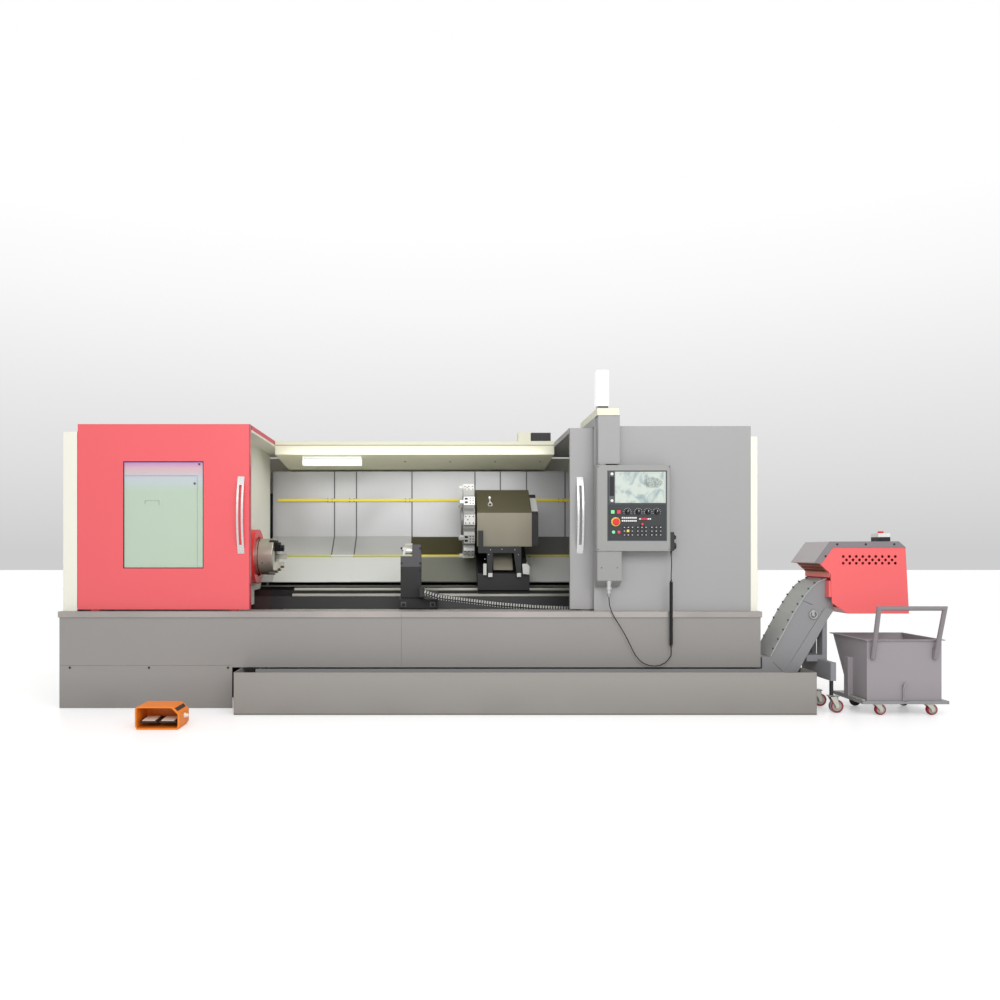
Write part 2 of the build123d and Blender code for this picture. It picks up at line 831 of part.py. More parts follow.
# The grey right front cover, folded back into the roof over the parked door
right_cover_left = 756
right_cover_top = 2087
right_cover_right = base_right - 50
with BuildPart() as right_front_cover:
    with BuildSketch(across(right_cover_left)):
        Polygon(
            (enclosure_front, lip_top),
            (enclosure_front, right_cover_top),
            (enclosure_back, right_cover_top),
            (enclosure_back, wall_top + 1),
            (right_door_front + right_door_thickness + 6, wall_top + 1),
            (right_door_front + right_door_thickness + 6, right_cover_top - 4),
            (enclosure_front + 4, right_cover_top - 4),
            (enclosure_front + 4, lip_top),
        )
    extrude(amount=right_cover_right - right_cover_left)
    with BuildSketch(across(opening_right)):
        corners(right_door_front + right_door_thickness + 6, enclosure_back, wall_top + 1, right_cover_top)
    extrude(amount=right_cover_left - opening_right)
right_front_cover.part.label = "right_front_cover"
export_step(right_front_cover.part, "parts/right_front_cover.step")

# The cream right end cover
right_end_top = 2009
with BuildPart() as right_end_cover:
    with BuildSketch(across(right_cover_right + seat_gap)):
        corners(enclosure_front, enclosure_back, lip_top, right_end_top)
    extrude(amount=base_right - right_cover_right - seat_gap)
    with BuildSketch(across(right_cover_right + seat_gap)):
        corners(enclosure_front + sheet, enclosure_back - sheet, lip_top, right_end_top - sheet)
    extrude(amount=base_right - right_cover_right - seat_gap - sheet, mode=Mode.SUBTRACT)
right_end_cover.part.label = "right_end_cover"
export_step(right_end_cover.part, "parts/right_end_cover.step")

# The red left sliding door: a pan with folded edges and a window frame
door_sheet = 4
frame_width = 26
with BuildPart() as left_door:
    with BuildSketch(facing(enclosure_front)):
        corners(left_door_left, left_door_left + left_door_width, door_bottom, left_door_top)
    extrude(amount=-door_thickness)
    with BuildSketch(facing(enclosure_front + door_sheet)):
        corners(
            left_door_left + door_sheet,
            left_door_left + left_door_width - door_sheet,
            door_bottom + door_sheet,
            left_door_top - door_sheet,
        )
        corners(
            window_left - frame_width,
            window_left + window_width + frame_width,
            window_bottom - frame_width,
            window_bottom + window_height + frame_width,
            mode=Mode.SUBTRACT,
        )
    extrude(amount=-door_thickness, mode=Mode.SUBTRACT)
    with BuildSketch(facing(enclosure_front)):
        corners(window_left, window_left + window_width, window_bottom, window_bottom + window_height)
    extrude(amount=-door_thickness, mode=Mode.SUBTRACT)
    # Two runners that reach down to the lip's track
    for runner_x in (left_door_left + 120, left_door_left + left_door_width - 120):
        with BuildSketch(facing(enclosure_front + door_thickness / 2 - 5)):
            corners(runner_x - 30, runner_x + 30, lip_top - track_depth + seat_gap, door_bottom + 2)
        extrude(amount=-10)
left_door.part.label = "left_door"
export_step(left_door.part, "parts/left_door.step")

# The window pane, held in the frame against a rebate's width of clearance
with BuildPart() as door_window:
    with BuildSketch(facing(enclosure_front + 8)):
        corners(
            window_left + seat_gap,
            window_left + window_width - seat_gap,
            window_bottom + seat_gap,
            window_bottom + window_height - seat_gap,
        )
    extrude(amount=-glass_thickness)
door_window.part.label = "door_window"
export_step(door_window.part, "parts/door_window.step")

# The grey right sliding door, parked behind the fixed cover
with BuildPart() as right_door:
    with BuildSketch(facing(right_door_front)):
        corners(right_door_left, right_door_left + right_door_width, door_bottom, right_door_top)
    extrude(amount=-right_door_thickness)
    with BuildSketch(facing(right_door_front + door_sheet)):
        corners(
            right_door_left + door_sheet,
            right_door_left + right_door_width - door_sheet,
            door_bottom + door_sheet,
            right_door_top - door_sheet,
        )
    extrude(amount=-right_door_thickness, mode=Mode.SUBTRACT)
    for runner_x in (right_door_left + 120, right_door_left + right_door_width - 120):
        with BuildSketch(facing(right_door_front + right_door_thickness / 2 - 5)):
            corners(runner_x - 30, runner_x + 30, lip_top - track_depth + seat_gap, door_bottom + 2)
        extrude(amount=-10)
right_door.part.label = "right_door"
export_step(right_door.part, "parts/right_door.step")


def bow_handle(x, y):
    # A polished bow from handle_bottom up, standing on two feet on the door face at y, as two strands.
    middle = handle_bottom + handle_height / 2
    tip = handle_bottom + handle_height
    with BuildSketch(across(x)) as bow:
        with BuildLine():
            ThreePointArc((y, handle_bottom), (y - handle_reach, middle), (y, tip))
            Line((y, tip), (y, tip - 34))
            ThreePointArc((y, tip - 34), (y - handle_reach + handle_band, middle), (y, handle_bottom + 34))
            Line((y, handle_bottom + 34), (y, handle_bottom))
        make_face()
    extrude(bow.sketch, amount=handle_width)
    with BuildSketch(facing(y - handle_reach)) as groove_slot:
        with Locations((x + handle_width / 2, middle)):
            Rectangle(handle_slot, handle_height - 130)
    extrude(groove_slot.sketch, amount=-handle_reach, mode=Mode.SUBTRACT)


with BuildPart() as left_handle:
    bow_handle(left_door_left + left_door_width - 90, enclosure_front)
left_handle.part.label = "left_handle"
export_step(left_handle.part, "parts/left_handle.step")

with BuildPart() as right_handle:
    bow_handle(right_door_left + 48, right_door_front)
right_handle.part.label = "right_handle"
export_step(right_handle.part, "parts/right_handle.step")

# The operator column on the right cover, its cap, and the cable duct running back over the roof
column_bottom = 1796
column_top = 2152
cap_top = 2205
with BuildPart() as operator_column:
    with BuildSketch(Plane.XY.offset(column_bottom)):
        corners(column_left, column_left + column_width, column_front, enclosure_front)
    extrude(amount=column_top - column_bottom)
    with BuildSketch(Plane.XY.offset(column_top)):
        corners(column_left - 8, column_left + column_width - 3, column_front - 3, enclosure_front)
    extrude(amount=cap_top - column_top)
    with BuildSketch(Plane.XY.offset(right_cover_top)):
        corners(column_left - 8, column_left + column_width - 3, enclosure_front, enclosure_front + 620)
    extrude(amount=cap_top - right_cover_top)
    # The pivot collar and pin that the panel hangs on
    with BuildSketch(Plane.XY.offset(column_bottom)):
        with Locations((pivot_x, pivot_y)):
            Circle(16)
    extrude(amount=-40)
operator_column.part.label = "operator_column"
export_step(operator_column.part, "parts/operator_column.step")

# The square tower lamp on its foot
lamp_left = 758
lamp_width = 92
with BuildPart() as tower_lamp:
    with BuildSketch(Plane.XY.offset(cap_top)):
        corners(lamp_left + 14, lamp_left + lamp_width - 4, -748, -680)
    extrude(amount=17)
    with BuildSketch(Plane.XY.offset(cap_top + 17)):
        corners(lamp_left, lamp_left + lamp_width, -758, -670)
    extrude(amount=262)
    fillet(tower_lamp.edges().filter_by(Axis.Z).group_by(Axis.Z)[-1], radius=6)
tower_lamp.part.label = "tower_lamp"
export_step(tower_lamp.part, "parts/tower_lamp.step")

# The operator panel's housing with its lower duct box, hung on the column's pin
screen_left = 840
screen_width = 416
screen_bottom = 1507
screen_height = 229
keys_bottom = 1240
keys_height = 255
panel_recess = 4
stop_x = 891
stop_z = 1370
stop_travel = 6
stop_stem = 11
stop_inset = 4
duct_left = 759
duct_width = 178
duct_bottom = 940
cord_y = pendant_front + 32
with BuildPart() as pendant_housing:
    with BuildSketch(facing(pendant_front)):
        corners(pendant_left, pendant_left + pendant_width, pendant_bottom, pendant_top)
    extrude(amount=-pendant_depth)
    chamfer(pendant_housing.edges().filter_by(Axis.Z).group_by(Axis.Y)[0], length=8)
    with BuildSketch(facing(pendant_front)):
        corners(screen_left, screen_left + screen_width, screen_bottom, screen_bottom + screen_height)
        corners(screen_left, screen_left + screen_width, keys_bottom, keys_bottom + keys_height)
    extrude(amount=-panel_recess, mode=Mode.SUBTRACT)
    # The pocket that the emergency stop's stem runs into
    with BuildSketch(facing(pendant_front)):
        with Locations((stop_x, stop_z)):
            Circle(stop_stem + seat_gap)
    extrude(amount=-panel_recess - stop_inset - stop_travel, mode=Mode.SUBTRACT)
    with BuildSketch(across(duct_left)):
        Polygon(
            (pendant_front + 8, pendant_bottom),
            (pendant_front + pendant_depth, pendant_bottom),
            (pendant_front + pendant_depth, duct_bottom - 48),
            (pendant_front + 8, duct_bottom),
        )
    extrude(amount=duct_width)
    with BuildSketch(Plane.XY.offset(pendant_top)):
        with Locations((pivot_x, pivot_y)):
            Circle(16 + running_fit)
    extrude(amount=-60, mode=Mode.SUBTRACT)
    with BuildSketch(Plane.XY.offset(pendant_top)):
        with Locations((pivot_x, pivot_y)):
            Circle(34)
            Circle(16 + running_fit, mode=Mode.SUBTRACT)
    extrude(amount=column_bottom - pendant_top - seat_gap)
    # The cable connector under the duct box
    with BuildSketch(Plane.XY.offset(duct_bottom - 118)):
        with Locations((848, cord_y)):
            RegularPolygon(15, 12)
    extrude(amount=110)
pendant_housing.part.label = "pendant_housing"
export_step(pendant_housing.part, "parts/pendant_housing.step")

# The display, with a raised bezel round its glass
with BuildPart() as display_screen:
    with BuildSketch(facing(pendant_front + panel_recess)):
        corners(screen_left + 1, screen_left + screen_width - 1, screen_bottom + 1, screen_bottom + screen_height - 1)
    extrude(amount=panel_recess + 4)
    with BuildSketch(facing(pendant_front - 4)):
        corners(screen_left + 46, screen_left + screen_width - 10, screen_bottom + 10, screen_bottom + screen_height - 10)
    extrude(amount=-3, mode=Mode.SUBTRACT)
display_screen.part.label = "display_screen"
export_step(display_screen.part, "parts/display_screen.step")

# The key plate: rotary switches, push buttons and key rows
key_face = pendant_front - 2
knob_xs = (977, 1055, 1126, 1190)
knob_z = 1442
with BuildPart() as key_panel:
    with BuildSketch(facing(pendant_front + panel_recess)):
        corners(screen_left + 1, screen_left + screen_width - 1, keys_bottom + 1, keys_bottom + keys_height - 1)
    extrude(amount=panel_recess + 2)
    with BuildSketch(facing(key_face)):
        for x in knob_xs:
            with Locations((x, knob_z)):
                RegularPolygon(17, 12)
    extrude(amount=6)
    with BuildSketch(facing(key_face - 6)):
        for x in knob_xs:
            with Locations((x, knob_z)):
                Rectangle(9, 30, rotation=-25)
    extrude(amount=14)
    with BuildSketch(facing(key_face)):
        for x, z in ((868, 1442), (912, 1442)):
            with Locations((x, z)):
                Rectangle(26, 26)
        for x, z in ((874, 1294), (913, 1294)):
            with Locations((x, z)):
                RegularPolygon(12, 12)
        with Locations((1083, 1352)):
            RegularPolygon(13, 10)
        for left, pitch, columns in ((950, 29, 3), (1048, 30, 3), (1150, 32, 3)):
            with Locations((left + pitch, 1304)):
                with GridLocations(pitch, 28, columns, 3):
                    Rectangle(15, 15)
        with Locations((988, 1388)):
            with GridLocations(14, 22, 8, 2):
                Rectangle(10, 11)
        with Locations((1104, 1391)):
            with GridLocations(15, 1, 6, 1):
                Rectangle(11, 15)
    extrude(amount=5)
    with BuildSketch(facing(key_face)):
        with Locations((stop_x, stop_z)):
            Circle(stop_stem + seat_gap)
    extrude(amount=-panel_recess - 2, mode=Mode.SUBTRACT)
key_panel.part.label = "key_panel"
export_step(key_panel.part, "parts/key_panel.step")

# The emergency stop: a mushroom on its stem, which is let into the key plate
stop_clear = 4
with BuildPart() as emergency_stop:
    with BuildSketch(facing(key_face + stop_inset)):
        with Locations((stop_x, stop_z)):
            Circle(stop_stem)
    extrude(amount=stop_inset + stop_travel + stop_clear)
    with BuildSketch(facing(key_face - stop_travel - stop_clear)):
        with Locations((stop_x, stop_z)):
            RegularPolygon(25, 24)
    extrude(amount=16)
    chamfer(emergency_stop.faces().sort_by(Axis.Y)[0].edges(), length=5)
emergency_stop.part.label = "emergency_stop"
export_step(emergency_stop.part, "parts/emergency_stop.step")

# The handheld pulse unit in its holder on the panel's right side, with two selector knobs
unit_left = pendant_left + pendant_width
unit_bottom = 1158
with BuildPart() as hand_unit:
    with BuildSketch(facing(-780)):
        corners(unit_left, unit_left + 30, unit_bottom, unit_bottom + 138)
    extrude(amount=-64)
    chamfer(hand_unit.edges().filter_by(Axis.Y).group_by(Axis.X)[-1], length=6)
    with BuildSketch(across(unit_left + 30)):
        with Locations((-748, unit_bottom + 100)):
            RegularPolygon(14, 12)
        with Locations((-748, unit_bottom + 36)):
            RegularPolygon(22, 12)
    extrude(amount=18)
hand_unit.part.label = "hand_unit"
export_step(hand_unit.part, "parts/hand_unit.step")

# The hand unit's lead: a short tube down, the curly length, and the loop back to the duct box
cord_radius = 4.5
coil_radius = 13
coil_x = unit_left + 12
coil_top = 968
coil_bottom = 428
connector_bottom = duct_bottom - 118
upper_route = (
    (coil_x, cord_y, unit_bottom),
    (coil_x, cord_y, 1118),
    (coil_x + 5, cord_y, 1060),
    (coil_x, cord_y, 1004),
    (coil_x, cord_y, coil_top),
)
connector_x = 848
lower_route = (
    (coil_x, cord_y, coil_bottom),
    (coil_x, cord_y, 386),
    (1264, cord_y, 332),
    (1184, cord_y, 308),
    (1100, cord_y, 328),
    (1040, cord_y, 392),
    (1000, cord_y, 480),
    (950, cord_y, 576),
    (890, cord_y, 666),
    (connector_x, cord_y, 752),
    (connector_x, cord_y, connector_bottom),
)


def tangent_radii(points):
    # Corner radii as large as each corner's two runs allow.
    runs = [Vector(*after) - Vector(*before) for before, after in zip(points, points[1:])]
    turns = [math.radians(before.get_angle(after)) for before, after in zip(runs, runs[1:])]
    return [
        0.45 * min(before.length, after.length) / math.tan(turn / 2)
        for before, after, turn in zip(runs, runs[1:], turns)
    ]


with BuildPart() as hand_lead_upper:
    with BuildLine() as upper_path:
        FilletPolyline(*upper_route, radius=tangent_radii(upper_route))
    with BuildSketch(upper_path.line ^ 0):
        RegularPolygon(cord_radius, 8)
    sweep()
print("upper lead radii", [round(radius) for radius in tangent_radii(upper_route)])
hand_lead_upper.part.label = "hand_lead_upper"
export_step(hand_lead_upper.part, "parts/hand_lead_upper.step")

with BuildPart() as hand_lead_coil:
    with BuildSketch(Plane.XY.offset(coil_bottom)):
        with Locations((coil_x, cord_y)):
            Circle(coil_radius)
    extrude(amount=coil_top - coil_bottom)
hand_lead_coil.part.label = "hand_lead_coil"
export_step(hand_lead_coil.part, "parts/hand_lead_coil.step")

with BuildPart() as hand_lead_loop:
    with BuildLine() as lower_path:
        FilletPolyline(*lower_route, radius=tangent_radii(lower_route))
    with BuildSketch(lower_path.line ^ 0):
        RegularPolygon(cord_radius, 8)
    sweep()
print("loop radii", [round(radius) for radius in tangent_radii(lower_route)])
hand_lead_loop.part.label = "hand_lead_loop"
export_step(hand_lead_loop.part, "parts/hand_lead_loop.step")

# The conveyor's closed trough: a level length in the tank, then the incline up into the hood
trough_low = tank_wall + seat_gap
under_foot = (base_right + 272, 266)
under_knee = (base_right + 497, 662)
trough_profile = (
    (tank_left + 97, trough_low),
    (base_right + 68, trough_low),
    under_foot,
    under_knee,
    (base_right + 542, 728),
    (base_right + 486, 949),
    (base_right + 431, 928),
    (base_right + 384, 893),
    (base_right + 325, 820),
    (base_right + 243, 690),
    (base_right + 77, 380),
    (base_right + 13, 372),
    (base_right + 13, 288),
    (tank_left + 97, 288),
)
trough_back = trough_front + trough_width
with BuildPart() as conveyor_trough:
    with BuildSketch(facing(trough_front)):
        Polygon(*trough_profile)
    extrude(amount=-trough_width)
    # The chip slot along the level length, under the bed's chip windows
    with BuildSketch(Plane.XY.offset(288)):
        corners(tank_left + 147, base_right - 60, trough_front + 12, trough_back - 12)
    extrude(amount=-200, mode=Mode.SUBTRACT)
    # The edge flange proud of the incline's side
    with BuildSketch(facing(trough_front)):
        Polygon(under_foot, under_knee, (base_right + 542, 728), (base_right + 476, 742), (base_right + 176, 264))
    extrude(amount=8)
conveyor_trough.part.label = "conveyor_trough"
export_step(conveyor_trough.part, "parts/conveyor_trough.step")

# The bolted cover plates up the incline
with BuildPart() as conveyor_cover:
    with BuildSketch(facing(trough_front - 10)):
        Polygon(
            (base_right + 75, 380 + 1),
            (base_right + 243, 690 + 1),
            (base_right + 325, 820 + 1),
            (base_right + 384, 893 + 1),
            (base_right + 431, 928 + 1),
            (base_right + 486, 949 + 1),
            (base_right + 483, 957),
            (base_right + 427, 936),
            (base_right + 378, 900),
            (base_right + 319, 826),
            (base_right + 236, 695),
            (base_right + 68, 381),
        )
    extrude(amount=-trough_width - 20)
conveyor_cover.part.label = "conveyor_cover"
export_step(conveyor_cover.part, "parts/conveyor_cover.step")

# The red discharge hood, folded sheet with perforated front cheek and slotted grille
hood_outline = (
    (base_right + 371, 1069),
    (base_right + 483, 1223),
    (base_right + 985, 1225),
    (3008, 1181),
    (3034, 700),
    (base_right + 616, 700),
    (base_right + 500, 777),
    (base_right + 488, 992),
    (base_right + 396, 1079),
)
hood_back = hood_front + hood_width
hole_pitch = 47.5
hole_radius = 11
with BuildPart() as discharge_hood:
    with BuildSketch(facing(hood_front)):
        Polygon(*hood_outline)
    extrude(amount=-hood_width)
    with BuildSketch(facing(hood_front + hood_sheet)):
        Polygon(
            (base_right + 378, 1070),
            (base_right + 486, 1218),
            (base_right + 983, 1220),
            (3003, 1178),
            (3029, 695),
            (base_right + 618, 695),
            (base_right + 618, 705),
            (base_right + 552, 749),
            (base_right + 552, 738),
            (base_right + 468, 785),
            (base_right + 468, 985),
            (base_right + 484, 998),
            (base_right + 398, 1084),
        )
    extrude(amount=-hood_width + 2 * hood_sheet, mode=Mode.SUBTRACT)
    with BuildSketch(facing(hood_front)):
        for row, z in enumerate((1117, 1092, 1068)):
            with Locations((base_right + 772, z)):
                with GridLocations(hole_pitch, 1, 9 if row != 1 else 8, 1):
                    RegularPolygon(hole_radius, 8)
    extrude(amount=-hood_sheet, mode=Mode.SUBTRACT)
    # Spacer blocks by which the hood's cheeks are bolted to the trough's sides
    for y in (hood_front + hood_sheet, trough_back + seat_gap):
        with BuildSketch(facing(y)):
            corners(base_right + 478, base_right + 528, 820, 940)
        extrude(amount=hood_front + hood_sheet - trough_front + seat_gap)
    grille = Plane(origin=(base_right + 442, (hood_front + hood_back) / 2, 1036), x_dir=(0, 1, 0), z_dir=(-0.687, 0, -0.726))
    with BuildSketch(grille):
        with GridLocations(30, 40, 11, 2):
            Rectangle(20, 28)
    extrude(amount=20, both=True, mode=Mode.SUBTRACT)
    # The strip that closes the mouth over the trough's end
    with BuildSketch(facing(hood_front)):
        corners(base_right + 478, base_right + 483, 964, 1000)
    extrude(amount=-hood_width)
discharge_hood.part.label = "discharge_hood"
export_step(discharge_hood.part, "parts/discharge_hood.step")

# The grey cover folded over the hood's top, with the control box behind
band = 46
lap = 3
box_left = base_right + 916
with BuildPart() as hood_cover:
    with BuildSketch(facing(hood_front - lap)):
        Polygon(
            (base_right + 368, 1071),
            (base_right + 481, 1226 + lap - 3),
            (base_right + 986, 1228),
            (3010, 1228 - band),
            (base_right + 506, 1228 - band),
            (base_right + 420, 1064),
        )
    extrude(amount=-hood_width - 2 * lap)
    with BuildSketch(facing(hood_front - seat_gap)):
        Polygon(*hood_outline)
        Polygon((base_right + 328, 1064), (base_right + 396, 1076), (base_right + 488, 992), (base_right + 428, 900))
    extrude(amount=-hood_width - 2 * seat_gap, mode=Mode.SUBTRACT)
    with BuildSketch(Plane.XY.offset(1228)):
        corners(box_left, box_left + 92, hood_front + 150, hood_front + 250)
    extrude(amount=62)
    with BuildSketch(Plane.XY.offset(1290)):
        with Locations((box_left + 46, hood_front + 200)):
            RegularPolygon(20, 12)
    extrude(amount=16)
hood_cover.part.label = "hood_cover"
export_step(hood_cover.part, "parts/hood_cover.step")

# The conveyor's stand: two posts on a shelf and a deep beam, which runs forward over two casters
caster_radius = 48
caster_trail = 34
caster_gauge = 28
under_slope = (under_knee[1] - under_foot[1]) / (under_knee[0] - under_foot[0])
post_left = base_right + 460
post_right = base_right + 494
post_depth = 90
shelf_low = 343
shelf_high = 390
beam_left = base_right + 425
beam_width = 39
beam_low = 230
beam_front = -922
beam_back = trough_back


def under_side(x):
    # The height of the incline's underside at x, less the seat's gap.
    return under_foot[1] + (x - under_foot[0]) * under_slope - 2 * seat_gap


with BuildPart() as conveyor_stand:
    for y in (trough_front + 5, trough_back - post_depth - 5):
        with BuildSketch(facing(y)):
            Polygon(
                (post_left, shelf_low),
                (post_right, shelf_low),
                (post_right, under_side(post_right)),
                (post_left, under_side(post_left)),
            )
            Polygon(
                (under_foot[0] + (shelf_high - under_foot[1]) / under_slope + 1, shelf_high),
                (under_foot[0] + (shelf_high - under_foot[1]) / under_slope + 1, shelf_low),
                (post_right, shelf_low),
                (post_right, shelf_high),
            )
        extrude(amount=-post_depth)
    with BuildSketch(facing(beam_front)):
        corners(beam_left, beam_left + beam_width, beam_low, shelf_low + 18)
    extrude(amount=beam_front - beam_back)
    for y in (beam_front + 20, -645):
        swivel_x = beam_left + 14
        with BuildSketch(Plane.XY.offset(beam_low)):
            with Locations((swivel_x, y)):
                Rectangle(20, 20)
        extrude(amount=118 - beam_low)
        with BuildSketch(Plane.XY.offset(118)):
            with Locations((swivel_x + 14, y)):
                Rectangle(64, 56)
        extrude(amount=6)
        for side in (-1, 1):
            with BuildSketch(facing(y + side * (caster_gauge / 2 + 4) + 2)):
                Polygon(
                    (swivel_x - 14, 119),
                    (swivel_x + 40, 119),
                    (swivel_x + caster_trail + 12, caster_radius - 10),
                    (swivel_x + caster_trail - 12, caster_radius - 10),
                )
            extrude(amount=4)
        with BuildSketch(facing(y + caster_gauge / 2)):
            with Locations((swivel_x + caster_trail, caster_radius)):
                RegularPolygon(caster_radius, 24, rotation=7.5)
        extrude(amount=caster_gauge)
        with BuildSketch(facing(y + caster_gauge / 2 + 4)):
            with Locations((swivel_x + caster_trail, caster_radius)):
                RegularPolygon(7, 8)
        extrude(amount=caster_gauge + 8)
conveyor_stand.part.label = "conveyor_stand"
export_step(conveyor_stand.part, "parts/conveyor_stand.step")

# The foot switch's guard: a folded hood, open to the front
pedal_width = 112
pedal_gap = 12
pedal_heel = foot_front + 150
pedal_heel_z = 47
pedal_axle = 5
with BuildPart() as foot_guard:
    with BuildSketch(facing(foot_front + foot_depth)):
        with BuildLine():
            Polyline(
                (foot_left + 14, 0),
                (foot_left, 22),
                (foot_left, foot_height - 14),
                (foot_left + 14, foot_height),
                (foot_left + foot_width - 46, foot_height),
                (foot_left + foot_width, foot_height - 46),
                (foot_left + foot_width, 22),
                (foot_left + foot_width - 14, 0),
                close=True,
            )
        make_face()
    extrude(amount=foot_depth)
    with BuildSketch(facing(foot_front)):
        Polygon(
            (foot_left + 16, 10),
            (foot_left + 10, 22),
            (foot_left + 10, foot_height - 16),
            (foot_left + 18, foot_height - 10),
            (foot_left + foot_width - 52, foot_height - 10),
            (foot_left + foot_width - 12, foot_height - 50),
            (foot_left + foot_width - 12, 22),
            (foot_left + foot_width - 18, 10),
        )
    extrude(amount=-foot_depth + 12, mode=Mode.SUBTRACT)
    # The heel axle that both pedals rock on
    with BuildSketch(across(foot_left + 6)):
        with Locations((pedal_heel, pedal_heel_z)):
            Circle(pedal_axle)
    extrude(amount=foot_width - 14)
foot_guard.part.label = "foot_guard"
export_step(foot_guard.part, "parts/foot_guard.step")

# Two rocking pedals side by side on their heel axle
for number, side in enumerate(("left", "right")):
    pedal_x = foot_left + 24 + number * (pedal_width + pedal_gap)
    with BuildPart() as pedal:
        with BuildSketch(across(pedal_x)):
            Polygon(
                (foot_front + 22, 42),
                (foot_front + 22, 52),
                (pedal_heel, 62),
                (pedal_heel + 20, 56),
                (pedal_heel + 20, 40),
                (pedal_heel, 34),
                (foot_front + 60, 40),
            )
        extrude(amount=pedal_width)
        with BuildSketch(across(pedal_x)):
            with Locations((pedal_heel, pedal_heel_z)):
                Circle(pedal_axle + running_fit)
        extrude(amount=pedal_width, mode=Mode.SUBTRACT)
    pedal.part.label = f"foot_pedal_{side}"
    export_step(pedal.part, f"parts/foot_pedal_{side}.step")

# The chip cart: a tapered tub on a flat frame
tub_sheet = 4
rim_depth = 500
floor_depth = 250
tub_floor = frame_z
with BuildPart() as cart_tub:
    with BuildSketch(across(cart_left)):
        Polygon(
            (cart_front, tub_floor),
            (cart_front + floor_depth, tub_floor),
            (cart_front + rim_depth, rim_z),
            (cart_front, rim_z),
        )
    extrude(amount=cart_width)
    with BuildSketch(across(cart_left + tub_sheet)):
        Polygon(
            (cart_front + tub_sheet, tub_floor + tub_sheet),
            (cart_front + floor_depth - tub_sheet, tub_floor + tub_sheet),
            (cart_front + rim_depth - tub_sheet, rim_z + 1),
            (cart_front + tub_sheet, rim_z + 1),
        )
    extrude(amount=cart_width - 2 * tub_sheet, mode=Mode.SUBTRACT)
    with BuildSketch(Plane.XY.offset(rim_z)):
        corners(cart_left - 18, cart_left + cart_width + 18, cart_front - 16, cart_front + rim_depth + 16)
        corners(
            cart_left + tub_sheet,
            cart_left + cart_width - tub_sheet,
            cart_front + tub_sheet,
            cart_front + rim_depth - tub_sheet,
            mode=Mode.SUBTRACT,
        )
    extrude(amount=-6)
    # The stiffening channel up the left side, and the latch lug on the front
    with BuildSketch(across(cart_left)):
        corners(cart_front + 194, cart_front + 252, tub_floor, 385)
    extrude(amount=-37)
    with BuildSketch(facing(cart_front)):
        corners(cart_left + 247, cart_left + 267, tub_floor, 208)
    extrude(amount=14)
cart_tub.part.label = "cart_tub"
export_step(cart_tub.part, "parts/cart_tub.step")

# The cart's flat frame with its four casters' forks, whose wheels trail to the right
wheel_radius = 39
wheel_width = 26
wheel_trail = 28
frame_sheet = 22
fork_xs = (cart_left + 70, cart_left + cart_width - 92)
fork_ys = (cart_front + 12, cart_front + 360)
fork_spots = [(x, y) for x in fork_xs for y in fork_ys]
with BuildPart() as cart_frame:
    with BuildSketch(Plane.XY.offset(frame_z)):
        corners(cart_left - 38, cart_left + cart_width + 44, cart_front - 18, cart_front + 430)
        corners(cart_left + 40, cart_left + cart_width - 40, cart_front + 60, cart_front + 330, mode=Mode.SUBTRACT)
    extrude(amount=-frame_sheet)
    for x, y in fork_spots:
        for side in (-1, 1):
            with BuildSketch(facing(y + side * (wheel_width / 2 + 4) + 2)):
                Polygon(
                    (x - 16, frame_z - frame_sheet),
                    (x + 26, frame_z - frame_sheet),
                    (x + wheel_trail + 10, wheel_radius - 8),
                    (x + wheel_trail - 10, wheel_radius - 8),
                )
            extrude(amount=4)
cart_frame.part.label = "cart_frame"
export_step(cart_frame.part, "parts/cart_frame.step")

# The cart's wheels with their axle stubs between the forks
with BuildPart() as cart_wheels:
    for x, y in fork_spots:
        with BuildSketch(facing(y + wheel_width / 2)):
            with Locations((x + wheel_trail, wheel_radius)):
                RegularPolygon(wheel_radius, 24, rotation=7.5)
        extrude(amount=wheel_width)
        with BuildSketch(facing(y + wheel_width / 2 + 2)):
            with Locations((x + wheel_trail, wheel_radius)):
                RegularPolygon(8, 8)
        extrude(amount=wheel_width + 4)
cart_wheels.part.label = "cart_wheels"
export_step(cart_wheels.part, "parts/cart_wheels.step")

# The push handle, mitred tube welded to the tub's front
handle_tube = 16
handle_top = 757
leg_left = cart_left + 33
leg_right = cart_left + cart_width - 55
handle_route = (
    (leg_left, cart_front - handle_tube - 1, 400),
    (leg_left + 12, cart_front - 74, handle_top),
    (leg_right + 33, cart_front - 74, handle_top),
    (leg_right, cart_front - handle_tube - 1, 400),
)
with BuildPart() as cart_handle:
    with BuildLine() as handle_path:
        Polyline(*handle_route)
    with BuildSketch(handle_path.line ^ 0):
        RegularPolygon(handle_tube, 8, rotation=22.5)
    sweep(transition=Transition.RIGHT)
    with BuildSketch(facing(cart_front)):
        for x in (leg_left, leg_right):
            corners(x - 12, x + 12, 396, 470)
    extrude(amount=handle_tube + 6)
cart_handle.part.label = "cart_handle"
export_step(cart_handle.part, "parts/cart_handle.step")
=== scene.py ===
import math

